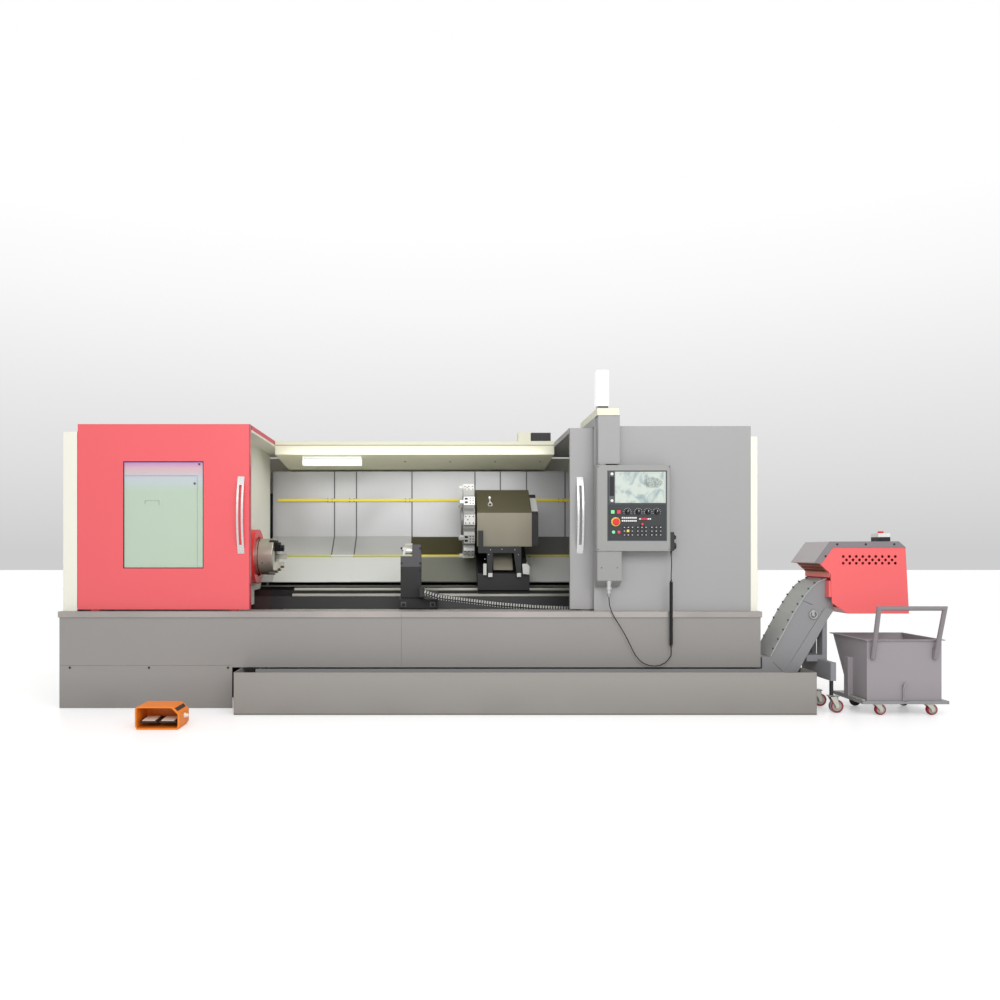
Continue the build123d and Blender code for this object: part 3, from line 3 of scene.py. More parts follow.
import bmesh
import bpy
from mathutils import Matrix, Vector


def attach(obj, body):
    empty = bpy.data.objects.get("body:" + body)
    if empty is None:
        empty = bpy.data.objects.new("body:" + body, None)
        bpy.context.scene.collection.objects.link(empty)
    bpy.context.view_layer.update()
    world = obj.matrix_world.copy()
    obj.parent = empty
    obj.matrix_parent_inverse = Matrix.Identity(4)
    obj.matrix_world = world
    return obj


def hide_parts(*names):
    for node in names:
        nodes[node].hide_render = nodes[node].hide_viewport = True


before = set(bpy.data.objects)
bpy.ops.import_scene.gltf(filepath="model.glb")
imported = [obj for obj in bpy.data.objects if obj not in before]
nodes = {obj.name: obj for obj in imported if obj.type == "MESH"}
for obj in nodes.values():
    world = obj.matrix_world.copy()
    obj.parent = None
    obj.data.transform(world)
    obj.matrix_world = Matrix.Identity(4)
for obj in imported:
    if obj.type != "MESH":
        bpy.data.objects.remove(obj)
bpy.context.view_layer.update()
mm = 0.001
print("frame loaded:", len(nodes), "nodes")

# Camera at the photograph's eye height, looking straight at the machine's front
view = {"place": (-0.390, -6.732, 1.150), "lens": 29.32, "shift": (0.060, 0.052)}
cameraData = bpy.data.cameras.new("shopCamera")
cameraData.lens = view["lens"]
cameraData.shift_x, cameraData.shift_y = view["shift"]
cameraData.clip_end = 200
camera = bpy.data.objects.new("shopCamera", cameraData)
camera.location = view["place"]
camera.rotation_euler = (math.pi / 2, 0, 0)
bpy.context.scene.collection.objects.link(camera)
bpy.context.scene.camera = camera
bpy.context.scene.view_settings.view_transform = "Standard"
print("camera set")


def addNode(tree, kind, links=None, **values):
    # One node with its sockets set by name, linked from other nodes' outputs
    node = tree.nodes.new(kind)
    for key, value in values.items():
        if hasattr(node, key):
            setattr(node, key, value)
        else:
            node.inputs[key.replace("_", " ")].default_value = value
    for key, source in (links or {}).items():
        tree.links.new(source, node.inputs[key])
    return node


def rgb(red, green, blue):
    # A colour picked from a screen, as the shader wants it
    def straight(value):
        value /= 255
        return value / 12.92 if value <= 0.04045 else ((value + 0.055) / 1.055) ** 2.4
    return (straight(red), straight(green), straight(blue), 1)


def openGroup(name, inputs, outputs):
    # A shader group with named sockets: inputs are (name, kind, start value)
    tree = bpy.data.node_groups.new(name, "ShaderNodeTree")
    for label, kind, start in inputs:
        socket = tree.interface.new_socket(label, in_out="INPUT", socket_type="NodeSocket" + kind)
        if start is not None:
            socket.default_value = start
    for label, kind in outputs:
        tree.interface.new_socket(label, in_out="OUTPUT", socket_type="NodeSocket" + kind)
    return tree, tree.nodes.new("NodeGroupInput"), tree.nodes.new("NodeGroupOutput")


def join(tree, socket, term):
    # A number or colour goes onto the socket itself, another node's output is linked to it
    if isinstance(term, bpy.types.NodeSocket):
        tree.links.new(term, socket)
    else:
        socket.default_value = term


def reckon(tree, operation, *terms, kind="ShaderNodeMath"):
    node = addNode(tree, kind, operation=operation)
    for index, term in enumerate(terms):
        join(tree, node.inputs[index], term)
    return node.outputs[0]


def reckonPlaces(tree, operation, *terms):
    return reckon(tree, operation, *terms, kind="ShaderNodeVectorMath")


def mapped(tree, value, *span):
    # span is the range that comes in and the range that goes out
    node = addNode(tree, "ShaderNodeMapRange", {"Value": value})
    for index, limit in enumerate(span, start=1):
        node.inputs[index].default_value = limit
    return node.outputs[0]


def speckle(tree, place, **values):
    return addNode(tree, "ShaderNodeTexNoise", {"Vector": place}, **values)


def shaded(tree, paint, share):
    return addNode(tree, "ShaderNodeVectorMath", {0: paint, "Scale": share},
                   operation="SCALE").outputs["Vector"]


def layered(tree, share, under, over):
    node = addNode(tree, "ShaderNodeMix", {"Factor": share}, data_type="RGBA")
    join(tree, node.inputs[6], under)
    join(tree, node.inputs[7], over)
    return node.outputs[2]


def give(tree, result, **sources):
    for label, source in sources.items():
        tree.links.new(source, result.inputs[label])


lowDarkColour = rgb(90, 84, 78)  # colour the paint darkens to near the floor


def buildSkinGroup():
    # Slow drift of shade, fine speckle and a little darkening towards the floor, for paint, plastic and
    # castings
    tree, source, result = openGroup(
        "sheetSkin",
        [("Place", "Vector", None), ("Paint", "Color", (1, 1, 1, 1)), ("Drift", "Float", 0.05),
         ("Polish", "Float", 0.4), ("Grain", "Float", 600.0), ("Low Darkness", "Float", 0.1)],
        [("Paint", "Color"), ("Polish", "Float"), ("Height", "Float")])
    take = source.outputs
    slow = speckle(tree, take["Place"], Scale=1.7, Detail=3.0).outputs["Fac"]
    fine = speckle(tree, take["Place"], Detail=2.0)
    tree.links.new(take["Grain"], fine.inputs["Scale"])
    drift = reckon(tree, "MULTIPLY", reckon(tree, "SUBTRACT", slow, 0.5), take["Drift"])
    clean = shaded(tree, take["Paint"], reckon(tree, "ADD", drift, 1.0))
    height = addNode(tree, "ShaderNodeSeparateXYZ", {"Vector": take["Place"]}).outputs["Z"]
    lowDarkness = reckon(tree, "MULTIPLY", mapped(tree, height, 0.0, 0.25, 1.0, 0.0), take["Low Darkness"])
    darkenedLow = layered(tree, reckon(tree, "MULTIPLY", lowDarkness, slow), clean, lowDarkColour)
    give(tree, result, Paint=darkenedLow, Polish=reckon(tree, "ADD", drift, take["Polish"]),
         Height=fine.outputs["Fac"])
    return tree


def buildBrushGroup():
    # Fine drawn streaks with cloudy patches, for stainless sheet and ground steel
    tree, source, result = openGroup(
        "brushedSkin",
        [("Place", "Vector", None), ("Paint", "Color", (1, 1, 1, 1)), ("Stretch", "Vector", (1, 60, 60)),
         ("Clouds", "Float", 0.3), ("Polish", "Float", 0.35)],
        [("Paint", "Color"), ("Polish", "Float"), ("Height", "Float")])
    take = source.outputs
    pulled = reckonPlaces(tree, "MULTIPLY", take["Place"], take["Stretch"])
    streaks = speckle(tree, pulled, Scale=9.0, Detail=4.0).outputs["Fac"]
    clouds = speckle(tree, take["Place"], Scale=1.35, Detail=1.0, Distortion=0.6).outputs["Fac"]
    cloudShare = reckon(tree, "MULTIPLY", mapped(tree, clouds, 0.3, 0.7, -1.0, 1.0), take["Clouds"])
    share = reckon(tree, "ADD", reckon(tree, "MULTIPLY_ADD", streaks, 0.16, 0.92), cloudShare)
    rough = reckon(tree, "MULTIPLY_ADD", streaks, 0.18, take["Polish"])
    give(tree, result, Paint=shaded(tree, take["Paint"], share), Polish=rough, Height=streaks)
    return tree


def buildPatchGroup():
    # A mask that is 1 inside a box given by its low and high corners in metres
    tree, source, result = openGroup(
        "boxPatch", [("Place", "Vector", None), ("Low", "Vector", (0, 0, 0)), ("High", "Vector", (0, 0, 0))],
        [("Mask", "Float")])
    take = source.outputs
    above = reckonPlaces(tree, "SUBTRACT", take["Place"], take["Low"])
    below = reckonPlaces(tree, "SUBTRACT", take["High"], take["Place"])
    split = addNode(tree, "ShaderNodeSeparateXYZ",
                    {"Vector": reckonPlaces(tree, "MINIMUM", above, below)}).outputs
    every = reckon(tree, "MINIMUM", reckon(tree, "MINIMUM", split["X"], split["Y"]), split["Z"])
    give(tree, result, Mask=reckon(tree, "GREATER_THAN", every, 0.0))
    return tree


skinGroup, brushGroup, patchGroup = buildSkinGroup(), buildBrushGroup(), buildPatchGroup()
edgeSoftness = 0.0025


def openMaterial(name):
    material = bpy.data.materials.new(name)
    material.use_nodes = True
    tree = material.node_tree
    place = addNode(tree, "ShaderNodeTexCoord").outputs["Object"]
    return material, tree, tree.nodes["Principled BSDF"], place


def patched(tree, place, colour, low, high, paint):
    # Another colour inside a box, its corners in mm
    box = tree.nodes.new("ShaderNodeGroup")
    box.node_tree = patchGroup
    tree.links.new(place, box.inputs["Place"])
    box.inputs["Low"].default_value = [v * mm for v in low]
    box.inputs["High"].default_value = [v * mm for v in high]
    return layered(tree, box.outputs["Mask"], colour, paint)


def makeFinish(name, paint, polish=0.42, metal=0.0, brushed=None, clouds=0.2, drift=0.05, grain=600.0,
               bump=0.05, lowDarkness=0.1, coat=0.0, soft=True, glow=0.0):
    # A whole material: a skin group, painted patches over it, softened edges and fine bump
    material, tree, shader, place = openMaterial(name)
    skin = tree.nodes.new("ShaderNodeGroup")
    skin.node_tree = brushGroup if brushed else skinGroup
    tree.links.new(place, skin.inputs["Place"])
    values = {"Drift": drift, "Grain": grain, "Low Darkness": lowDarkness}
    if brushed:
        values = {"Stretch": brushed, "Clouds": clouds}
    for label, value in {"Paint": paint, "Polish": polish, **values}.items():
        skin.inputs[label].default_value = value
    colour = skin.outputs["Paint"]
    for patch in patches.get(name, ()):
        colour = patched(tree, place, colour, *patch)
    tree.links.new(colour, shader.inputs["Base Color"])
    tree.links.new(skin.outputs["Polish"], shader.inputs["Roughness"])
    shader.inputs["Metallic"].default_value = metal
    shader.inputs["Coat Weight"].default_value = coat
    if glow:
        tree.links.new(colour, shader.inputs["Emission Color"])
        shader.inputs["Emission Strength"].default_value = glow
    uneven = addNode(tree, "ShaderNodeBump", {"Height": skin.outputs["Height"]}, Strength=bump,
                     Distance=0.001)
    if soft:
        rounded = addNode(tree, "ShaderNodeBevel", samples=4, Radius=edgeSoftness)
        tree.links.new(rounded.outputs["Normal"], uneven.inputs["Normal"])
    tree.links.new(uneven.outputs["Normal"], shader.inputs["Normal"])
    return material


everywhere = 9000  # beyond every piece, in mm


def band(axis, low, high, paint):
    # A patch across the whole piece between two heights or places along one axis, in mm
    lows, highs = [-everywhere] * 3, [everywhere] * 3
    lows["xyz".index(axis)], highs["xyz".index(axis)] = low, high
    return (lows, highs, paint)


# Painted places on each finish, as (low corner, high corner, colour)
coverSeams = (-1374, -1169, -651, -64, 172, 416, 776, 1140, 1500)
patches = {
    "tankPaint": [band("z", -1, 12, rgb(120, 116, 112))],
    "bedPaint": [
        ([-3100, 300, 846], [1900, 420, 900], rgb(140, 140, 136)),
        ([-3200, -732, 600], [-1830, 300, 1100], rgb(44, 8, 10)),
    ],
    "chuckSteel": [
        band("x", -1930, -1921, rgb(40, 38, 34)),
        band("x", -1882, -1876, rgb(30, 30, 28)),
    ],
    "coverSteel": [band("x", seam - 6, seam + 6, rgb(96, 96, 96)) for seam in coverSeams] + [
        # Boxes below: lighter and darker tones per section, painted reflections and painted shade on the
        # stainless covers
        ([-651, 560, 1122], [-100, 862, 1290], rgb(72, 68, 44)),
        ([-640, 330, 880], [-70, 640, 1102], rgb(128, 129, 121)),
        ([-1850, 330, 880], [-651, 640, 1102], rgb(226, 229, 228)),
        ([300, 560, 1122], [900, 862, 1292], rgb(112, 112, 111)),
        ([300, 330, 880], [900, 640, 1102], rgb(232, 232, 230)),
    ],
    "housingSteel": [
        # The olive-dark box over the housing's upper part is a painted reflection on the steel
        ([-80, 150, 1480], [387, 700, 1700], rgb(88, 84, 64)),
        ([386, 140, 1180], [460, 700, 1700], rgb(50, 50, 52)),
        ([386, 140, 1496], [460, 700, 1620], rgb(206, 206, 204)),
    ],
    "steadyBlack": [([-710, -180, 1031], [-540, 100, 1215], rgb(84, 84, 88))],
    "beamPaint": [
        ([389, 230, 2100], [570, 330, 2180], rgb(34, 34, 36)),
        band("z", 2058, 2066, rgb(176, 174, 150)),
        ([-1900, 232, 1900], [600, 870, 1983], rgb(226, 226, 196)),
    ],
    "roofPaint": [([-1830, -640, 2066], [-1790, 240, 2110], rgb(224, 60, 74))],
    "lampBody": [band("z", 1949, 2000, rgb(190, 192, 186))],
    "doorRed": [band("x", -1811, -1800, rgb(196, 52, 74))],
    "columnGrey": [
        band("z", 2152, 2210, rgb(230, 229, 208)),
        band("z", 2149, 2152, rgb(96, 96, 92)),
    ],
    "lampWhite": [band("z", 2200, 2222, rgb(40, 40, 40))],
    "panelGrey": [([830, -800, 1230], [1266, -785, 1745], rgb(70, 74, 78))],
    "stopRed": [band("y", -805, -780, rgb(236, 176, 70))],
    "hoodRed": [([2350, -775, 985], [2462, -405, 1078], rgb(206, 120, 92))],
    "hoodCover": [
        # The lighter box is a painted highlight on the cover's slanted top faces, behind its front band
        ([2300, -786.5, 1050], [2470, -380, 1227], rgb(182, 176, 180)),
        ([2880, -640, 1229], [2990, -530, 1262], rgb(32, 32, 34)),
        ([2880, -640, 1262], [2990, -530, 1290.2], rgb(240, 240, 238)),
        ([2880, -640, 1290.2], [2990, -530, 1320], rgb(220, 52, 40)),
    ],
    "standGrey": [([2380, -990, 100], [2421, -560, 229], rgb(34, 34, 36))],
    # The dark brown box round the pedals is painted shade inside the orange guard
    "footOrange": [([-2350, -1456, 14], [-2090, -1280, 138], rgb(48, 38, 30))],
    "yellowStrip": [
        # Paler and near-white boxes on the lower strip's left sections are painted highlights, one tone per
        # section
        ([-1800, 500, 1000], [-1374, 700, 1150], rgb(206, 206, 120)),
        ([-1374, 500, 1000], [-1169, 700, 1150], rgb(222, 222, 206)),
        ([-1169, 500, 1000], [-651, 700, 1150], rgb(214, 206, 110)),
    ],
}
finishes = {
    "casing": makeFinish("casingPaint", rgb(152, 149, 146), 0.5, lowDarkness=0.5),
    "stainless": makeFinish("stainlessLip", rgb(178, 172, 168), 0.3, 0.55, brushed=(1, 60, 60), clouds=0.12),
    "tank": makeFinish("tankPaint", rgb(152, 148, 143), 0.5, lowDarkness=0.5),
    "bed": makeFinish("bedPaint", rgb(14, 13, 14), 0.5),
    "rail": makeFinish("groundRail", rgb(206, 204, 192), 0.25, 0.6, brushed=(1, 60, 60), clouds=0.2),
    "spindle": makeFinish("spindleSteel", rgb(190, 187, 178), 0.25, 0.75, brushed=(60, 1, 1), clouds=0.1),
    "chuck": makeFinish("chuckSteel", rgb(205, 202, 190), 0.22, 0.75, brushed=(60, 1, 1), clouds=0.12),
    "jawDark": makeFinish("blackedJaw", rgb(42, 42, 44), 0.38, 0.3),
    "jawBright": makeFinish("brightJaw", rgb(214, 212, 200), 0.25, 0.7, brushed=(1, 60, 60), clouds=0.1),
    "guardRed": makeFinish("guardRed", rgb(236, 40, 48), 0.35, coat=0.3),
    "cover": makeFinish("coverSteel", rgb(194, 195, 196), 0.3, 0.3, brushed=(60, 60, 1), clouds=0.16),
    "carriage": makeFinish("carriageBlack", rgb(30, 30, 32), 0.45, drift=0.1),
    "turret": makeFinish("turretSteel", rgb(150, 150, 148), 0.3, 0.6, brushed=(60, 1, 1), clouds=0.15),
    "holder": makeFinish("holderSteel", rgb(222, 222, 218), 0.3, 0.2, brushed=(60, 60, 1), clouds=0.08),
    "housing": makeFinish("housingSteel", rgb(142, 136, 120), 0.3, 0.4, brushed=(60, 60, 1), clouds=0.12),
    "steady": makeFinish("steadyBlack", rgb(36, 36, 38), 0.5),
    "steadySteel": makeFinish("steadySteel", rgb(206, 206, 202), 0.25, 0.7, brushed=(1, 60, 60)),
    "chain": makeFinish("chainBlack", rgb(42, 42, 43), 0.55, grain=300.0),
    "cream": makeFinish("creamPaint", rgb(241, 240, 226), 0.42),
    "beam": makeFinish("beamPaint", rgb(228, 227, 204), 0.42),
    "roof": makeFinish("roofPaint", rgb(241, 240, 226), 0.42),
    "lampBody": makeFinish("lampBody", rgb(240, 242, 240), 0.3, glow=0.55),
    "grey": makeFinish("coverGrey", rgb(164, 164, 164), 0.42),
    "doorGrey": makeFinish("doorGrey", rgb(164, 163, 163), 0.42),
    "doorRed": makeFinish("doorRed", rgb(238, 98, 104), 0.34, coat=0.25),
    "handle": makeFinish("handleSteel", rgb(222, 222, 222), 0.2, 0.5, brushed=(60, 60, 1), clouds=0.05),
    "column": makeFinish("columnGrey", rgb(158, 158, 158), 0.42),
    "lamp": makeFinish("lampWhite", rgb(246, 246, 244), 0.25, glow=0.3),
    "panel": makeFinish("panelGrey", rgb(152, 152, 150), 0.42),
    "keys": makeFinish("keyPlate", rgb(50, 52, 54), 0.5, grain=900.0),
    "stop": makeFinish("stopRed", rgb(224, 44, 50), 0.25, coat=0.4),
    "unit": makeFinish("unitBlack", rgb(44, 44, 46), 0.5),
    "conveyor": makeFinish("conveyorGrey", rgb(146, 146, 148), 0.42),
    "plate": makeFinish("conveyorPlate", rgb(176, 179, 177), 0.4, 0.2, brushed=(60, 1, 1), clouds=0.12),
    "hood": makeFinish("hoodRed", rgb(244, 104, 106), 0.36, coat=0.2),
    "hoodCover": makeFinish("hoodCover", rgb(134, 127, 131), 0.4),
    "stand": makeFinish("standGrey", rgb(138, 138, 142), 0.45),
    "guard": makeFinish("footOrange", rgb(250, 138, 34), 0.4),
    "pedal": makeFinish("pedalBlack", rgb(34, 34, 36), 0.5),
    "tub": makeFinish("cartPaint", rgb(158, 152, 156), 0.45, drift=0.12, lowDarkness=0.4),
    "frame": makeFinish("cartFrame", rgb(152, 152, 154), 0.4, 0.2),
    "tube": makeFinish("handlePaint", rgb(140, 134, 138), 0.4),
    "tyreRed": makeFinish("tyreRed", rgb(146, 30, 44), 0.4),
    "tyreBlack": makeFinish("tyreBlack", rgb(36, 36, 38), 0.55),
    "core": makeFinish("wheelCore", rgb(168, 166, 158), 0.35, 0.3),
    "silver": makeFinish("plugSilver", rgb(206, 206, 206), 0.25, 0.6, brushed=(60, 60, 1), clouds=0.1),
    # dark brown of the grille's holes: painted shade inside them
    "dim": makeFinish("paneLine", rgb(150, 166, 152), 0.4),
    "holeShade": makeFinish("grilleHoleShade", rgb(92, 48, 34), 0.5),
    "zinc": makeFinish("zincFork", rgb(210, 208, 196), 0.35, 0.4),
    "black": makeFinish("plainBlack", rgb(26, 26, 28), 0.45),
    "bolt": makeFinish("boltSteel", rgb(96, 96, 98), 0.3, 0.5),
    "legend": makeFinish("legendWhite", rgb(238, 238, 236), 0.4),
    "keyGreen": makeFinish("keyGreen", rgb(130, 236, 160), 0.3, coat=0.3),
    "keyRed": makeFinish("keyRed", rgb(222, 60, 84), 0.3, coat=0.3),
    "keyYellow": makeFinish("keyYellow", rgb(246, 212, 96), 0.3, coat=0.3),
    "yellow": makeFinish("yellowStrip", rgb(238, 218, 66), 0.35),
    "cord": makeFinish("cordRubber", rgb(26, 26, 27), 0.5, soft=False),
}
print("finishes made:", len(finishes))

# The hand unit's curly lead: the short top, the helix and the loop on one spline, in mm
lead = {"turns": 68, "ease": 2.2, "coilRadius": 9.7, "cordRadius": 3.5, "x": 1305, "y": -760,
        "coilTop": 968, "coilBottom": 428}
topRoute = [(1305, -760, 1158), (1305, -760, 1118), (1310, -760, 1060), (1305, -760, 1004)]
loopRoute = [(1305, -760, 400), (1303, -760, 386), (1264, -760, 332), (1184, -760, 308), (1100, -760, 328),
             (1040, -760, 392), (1000, -760, 480), (950, -760, 576), (890, -760, 666), (848, -760, 752),
             (848, -760, 822)]


def curlyLead():
    points = list(topRoute)
    steps = 12
    count = lead["turns"] * steps
    # At both ends the coil opens out of the straight lead over a few steep turns
    swells = [min(1.0, step / (lead["ease"] * steps),
                  (count - step) / (lead["ease"] * steps)) for step in range(count + 1)]
    drops = [1 + 3.1 * (1 - swell) for swell in swells]
    fallen = 0.0
    for step, swell in enumerate(swells):
        angle = 2 * math.pi * step / steps
        radius = lead["coilRadius"] * math.sin(math.pi / 2 * swell) ** 2
        points.append((lead["x"] + radius * math.cos(angle), lead["y"] + radius * math.sin(angle),
                       lead["coilTop"] - fallen / sum(drops) * (lead["coilTop"] - lead["coilBottom"])))
        fallen += drops[step]
    points += loopRoute
    curve = bpy.data.curves.new("handLead", "CURVE")
    curve.dimensions = "3D"
    curve.bevel_depth = lead["cordRadius"] * mm
    curve.bevel_resolution = 2
    curve.use_fill_caps = True
    curve.resolution_u = 2
    spline = curve.splines.new("NURBS")
    spline.points.add(len(points) - 1)
    for point, place in zip(spline.points, points):
        point.co = (*[v * mm for v in place], 1)
    spline.order_u = 3
    spline.use_endpoint_u = True
    curve.materials.append(finishes["cord"])
    piece = bpy.data.objects.new("handLead", curve)
    bpy.context.scene.collection.objects.link(piece)
    return piece


handLead = curlyLead()


def splineLength(places):
    # Length of the smooth curve those control points give, walked in short steps
    total, last = 0.0, places[0]
    for a, b, c in zip(places, places[1:], places[2:]):
        for step in range(1, 7):
            t = step / 6
            spot = 0.5 * ((1 - t) ** 2 * a + (1 + 2 * t - 2 * t * t) * b + t * t * c)
            total += (spot - last).length
            last = spot
    return total + (places[-1] - last).length


leadLength = splineLength([Vector(point.co[:3]) for point in handLead.data.splines[0].points])
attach(handLead, "operator_panel")
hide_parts("hand_lead_upper", "hand_lead_coil", "hand_lead_loop")
print("lead laid:", round(leadLength, 3))

# Each CAD node's finish
dressing = {
    "casing": ["base_casing"],
    "stainless": ["front_lip"],
    "tank": ["coolant_tank"],
    "bed": ["bed_casting", "headstock_casting", "tailstock_body"],
    "rail": ["guide_rails"],
    "spindle": ["spindle_shaft", "tailstock_quill"],
    "chuck": ["chuck_body"],
    "jawDark": ["chuck_jaw_1"],
    "jawBright": ["chuck_jaw_2", "chuck_jaw_3"],
    "guardRed": ["spindle_cover"],
    "cover": ["way_cover_left", "way_cover_right"],
    "carriage": ["saddle", "cross_slide"],
    "turret": ["turret_disc"],
    "holder": ["tool_holders"],
    "housing": ["turret_housing"],
    "steady": ["steady_rest"],
    "steadySteel": ["steady_arm", "steady_pin"],
    "chain": ["energy_chain"],
    "cream": ["left_end_cover", "headstock_cover", "rear_cabinet", "right_end_cover"],
    "roof": ["left_roof"],
    "beam": ["back_beam"],
    "lampBody": ["work_light"],
    "grey": ["right_front_cover"],
    "doorGrey": ["right_door"],
    "doorRed": ["left_door"],
    "handle": ["left_handle", "right_handle"],
    "column": ["operator_column"],
    "lamp": ["tower_lamp"],
    "panel": ["pendant_housing"],
    "keys": ["key_panel"],
    "stop": ["emergency_stop"],
    "unit": ["hand_unit"],
    "conveyor": ["conveyor_trough"],
    "plate": ["conveyor_cover"],
    "hood": ["discharge_hood"],
    "hoodCover": ["hood_cover"],
    "stand": ["conveyor_stand"],
    "guard": ["foot_guard"],
    "pedal": ["foot_pedal_left", "foot_pedal_right"],
    "tub": ["cart_tub"],
    "frame": ["cart_frame"],
    "tube": ["cart_handle"],
    "tyreBlack": ["cart_wheels"],
}


def dress(name, material):
    for holder in nodes[name].material_slots:
        holder.material = material


for finishName, names in dressing.items():
    for name in names:
        dress(name, finishes[finishName])


def addRamp(tree, value, stops):
    # A colour ramp from (place along it, colour) pairs
    node = addNode(tree, "ShaderNodeValToRGB", {"Fac": value})
    elements = node.color_ramp.elements
    for element, (share, paint) in zip(elements, (stops[0], stops[-1])):
        element.position, element.color = share, paint
    for share, paint in stops[1:-1]:
        elements.new(share).color = paint
    return node.outputs["Color"]


def windowPane():
    # Pale green tinted glass; the paler blue, warm and violet bands up its top are painted reflections
    material, tree, shader, place = openMaterial("paleGlass")
    height = addNode(tree, "ShaderNodeSeparateXYZ", {"Vector": place}).outputs["Z"]
    tintAndReflection = addRamp(tree, mapped(tree, height, 1.60, 1.82, 0.0, 1.0), (
        (0.0, rgb(206, 226, 206)), (0.45, rgb(214, 224, 232)), (0.8, rgb(236, 200, 206)),
        (1.0, rgb(214, 160, 226))))
    streaks = speckle(tree, place, Scale=3.0).outputs["Fac"]
    tree.links.new(tintAndReflection, shader.inputs["Base Color"])
    tree.links.new(mapped(tree, streaks, 0.0, 1.0, 0.03, 0.12), shader.inputs["Roughness"])
    shader.inputs["Alpha"].default_value = 0.72
    shader.inputs["IOR"].default_value = 1.5
    return material


picture = {"ovalCentre": (1.162, 0, 1.655), "ovalSquash": (13.5, 0, 25), "glow": 0.04}


def screenGlass():
    # A plain picture: soft swirls and a shaded oval over a washed ground, a dark strip at its left
    material, tree, shader, place = openMaterial("screenPicture")
    swirl = speckle(tree, place, Scale=7.0, Detail=3.0, Distortion=2.4).outputs["Fac"]
    washed = addRamp(tree, swirl, ((0.36, rgb(150, 168, 170)), (0.56, rgb(200, 209, 201))))
    weave = addNode(tree, "ShaderNodeTexVoronoi", {"Vector": place}, Scale=120.0).outputs["Distance"]
    offset = reckonPlaces(tree, "SUBTRACT", place, picture["ovalCentre"])
    squashed = reckonPlaces(tree, "MULTIPLY", offset, picture["ovalSquash"])
    reach = addNode(tree, "ShaderNodeVectorMath", {0: squashed}, operation="LENGTH").outputs["Value"]
    oval = mapped(tree, reach, 0.85, 1.05, 0.75, 0.0)
    colour = layered(tree, reckon(tree, "MULTIPLY", oval, mapped(tree, weave)), washed, rgb(70, 80, 84))
    for patch in (((-everywhere,) * 3, (886, everywhere, everywhere), rgb(96, 98, 98)),
                  ((846, -everywhere, 1558), (879, everywhere, 1700), rgb(44, 42, 46)),
                  ((1240, -everywhere, 1500), (1260, everywhere, 1740), rgb(196, 204, 198))):
        colour = patched(tree, place, colour, *patch)
    tree.links.new(colour, shader.inputs["Base Color"])
    tree.links.new(colour, shader.inputs["Emission Color"])
    shader.inputs["Emission Strength"].default_value = picture["glow"]
    shader.inputs["Roughness"].default_value = 0.12
    return material


dress("door_window", windowPane())
dress("display_screen", screenGlass())
print("nodes dressed")


# Mesh helpers. Places are in mm and every piece's object stays at the origin
def addPrism(bm, outline, axis, low, high, finish=0):
    order = {
        "x": lambda a, b, c: (c, a, b),
        "y": lambda a, b, c: (a, c, b),
        "z": lambda a, b, c: (a, b, c),
    }[axis]
    near = [bm.verts.new([v * mm for v in order(a, b, low)]) for a, b in outline]
    far = [bm.verts.new([v * mm for v in order(a, b, high)]) for a, b in outline]
    faces = [bm.faces.new(near), bm.faces.new(far[::-1])]
    faces += [bm.faces.new((near[i - 1], near[i], far[i], far[i - 1])) for i in range(len(near))]
    for face in faces:
        face.material_index = finish


def addBox(bm, low, high, finish=0):
    outline = ((low[0], low[1]), (high[0], low[1]), (high[0], high[1]), (low[0], high[1]))
    addPrism(bm, outline, "z", low[2], high[2], finish)


def addTurned(bm, centre, axis, profile, sides=32, finishesAlong=()):
    # A turned shape from (along, radius) pairs about a line through centre
    index = "xyz".index(axis)
    rings = []
    for along, radius in profile:
        ring = []
        for step in range(sides):
            angle = 2 * math.pi * step / sides
            place = [0.0, 0.0, 0.0]
            place[index] = centre[index] + along
            place[(index + 1) % 3] = centre[(index + 1) % 3] + radius * math.cos(angle)
            place[(index + 2) % 3] = centre[(index + 2) % 3] + radius * math.sin(angle)
            ring.append(bm.verts.new([v * mm for v in place]))
        rings.append(ring)
    for number, (before, after) in enumerate(zip(rings, rings[1:])):
        for step in range(sides):
            face = bm.faces.new((before[step - 1], before[step], after[step], after[step - 1]))
            face.material_index = finishesAlong[number] if finishesAlong else 0
    for ring, finish in ((rings[0], 0), (rings[-1][::-1], -1)):
        bm.faces.new(ring).material_index = finishesAlong[finish] if finishesAlong else 0


def addRing(bm, centre, axis, radius, wire, sides=24, wireSides=8, finish=0):
    # A closed ring of round wire
    index = "xyz".index(axis)
    rings = []
    for step in range(sides):
        angle = 2 * math.pi * step / sides
        ring = []
        for turn in range(wireSides):
            bend = 2 * math.pi * turn / wireSides
            reach = radius + wire * math.cos(bend)
            place = [0.0, 0.0, 0.0]
            place[index] = centre[index] + wire * math.sin(bend)
            place[(index + 1) % 3] = centre[(index + 1) % 3] + reach * math.cos(angle)
            place[(index + 2) % 3] = centre[(index + 2) % 3] + reach * math.sin(angle)
            ring.append(bm.verts.new([v * mm for v in place]))
        rings.append(ring)
    for step in range(sides):
        for turn in range(wireSides):
            face = bm.faces.new((rings[step - 1][turn - 1], rings[step - 1][turn], rings[step][turn],
                                 rings[step][turn - 1]))
            face.material_index = finish


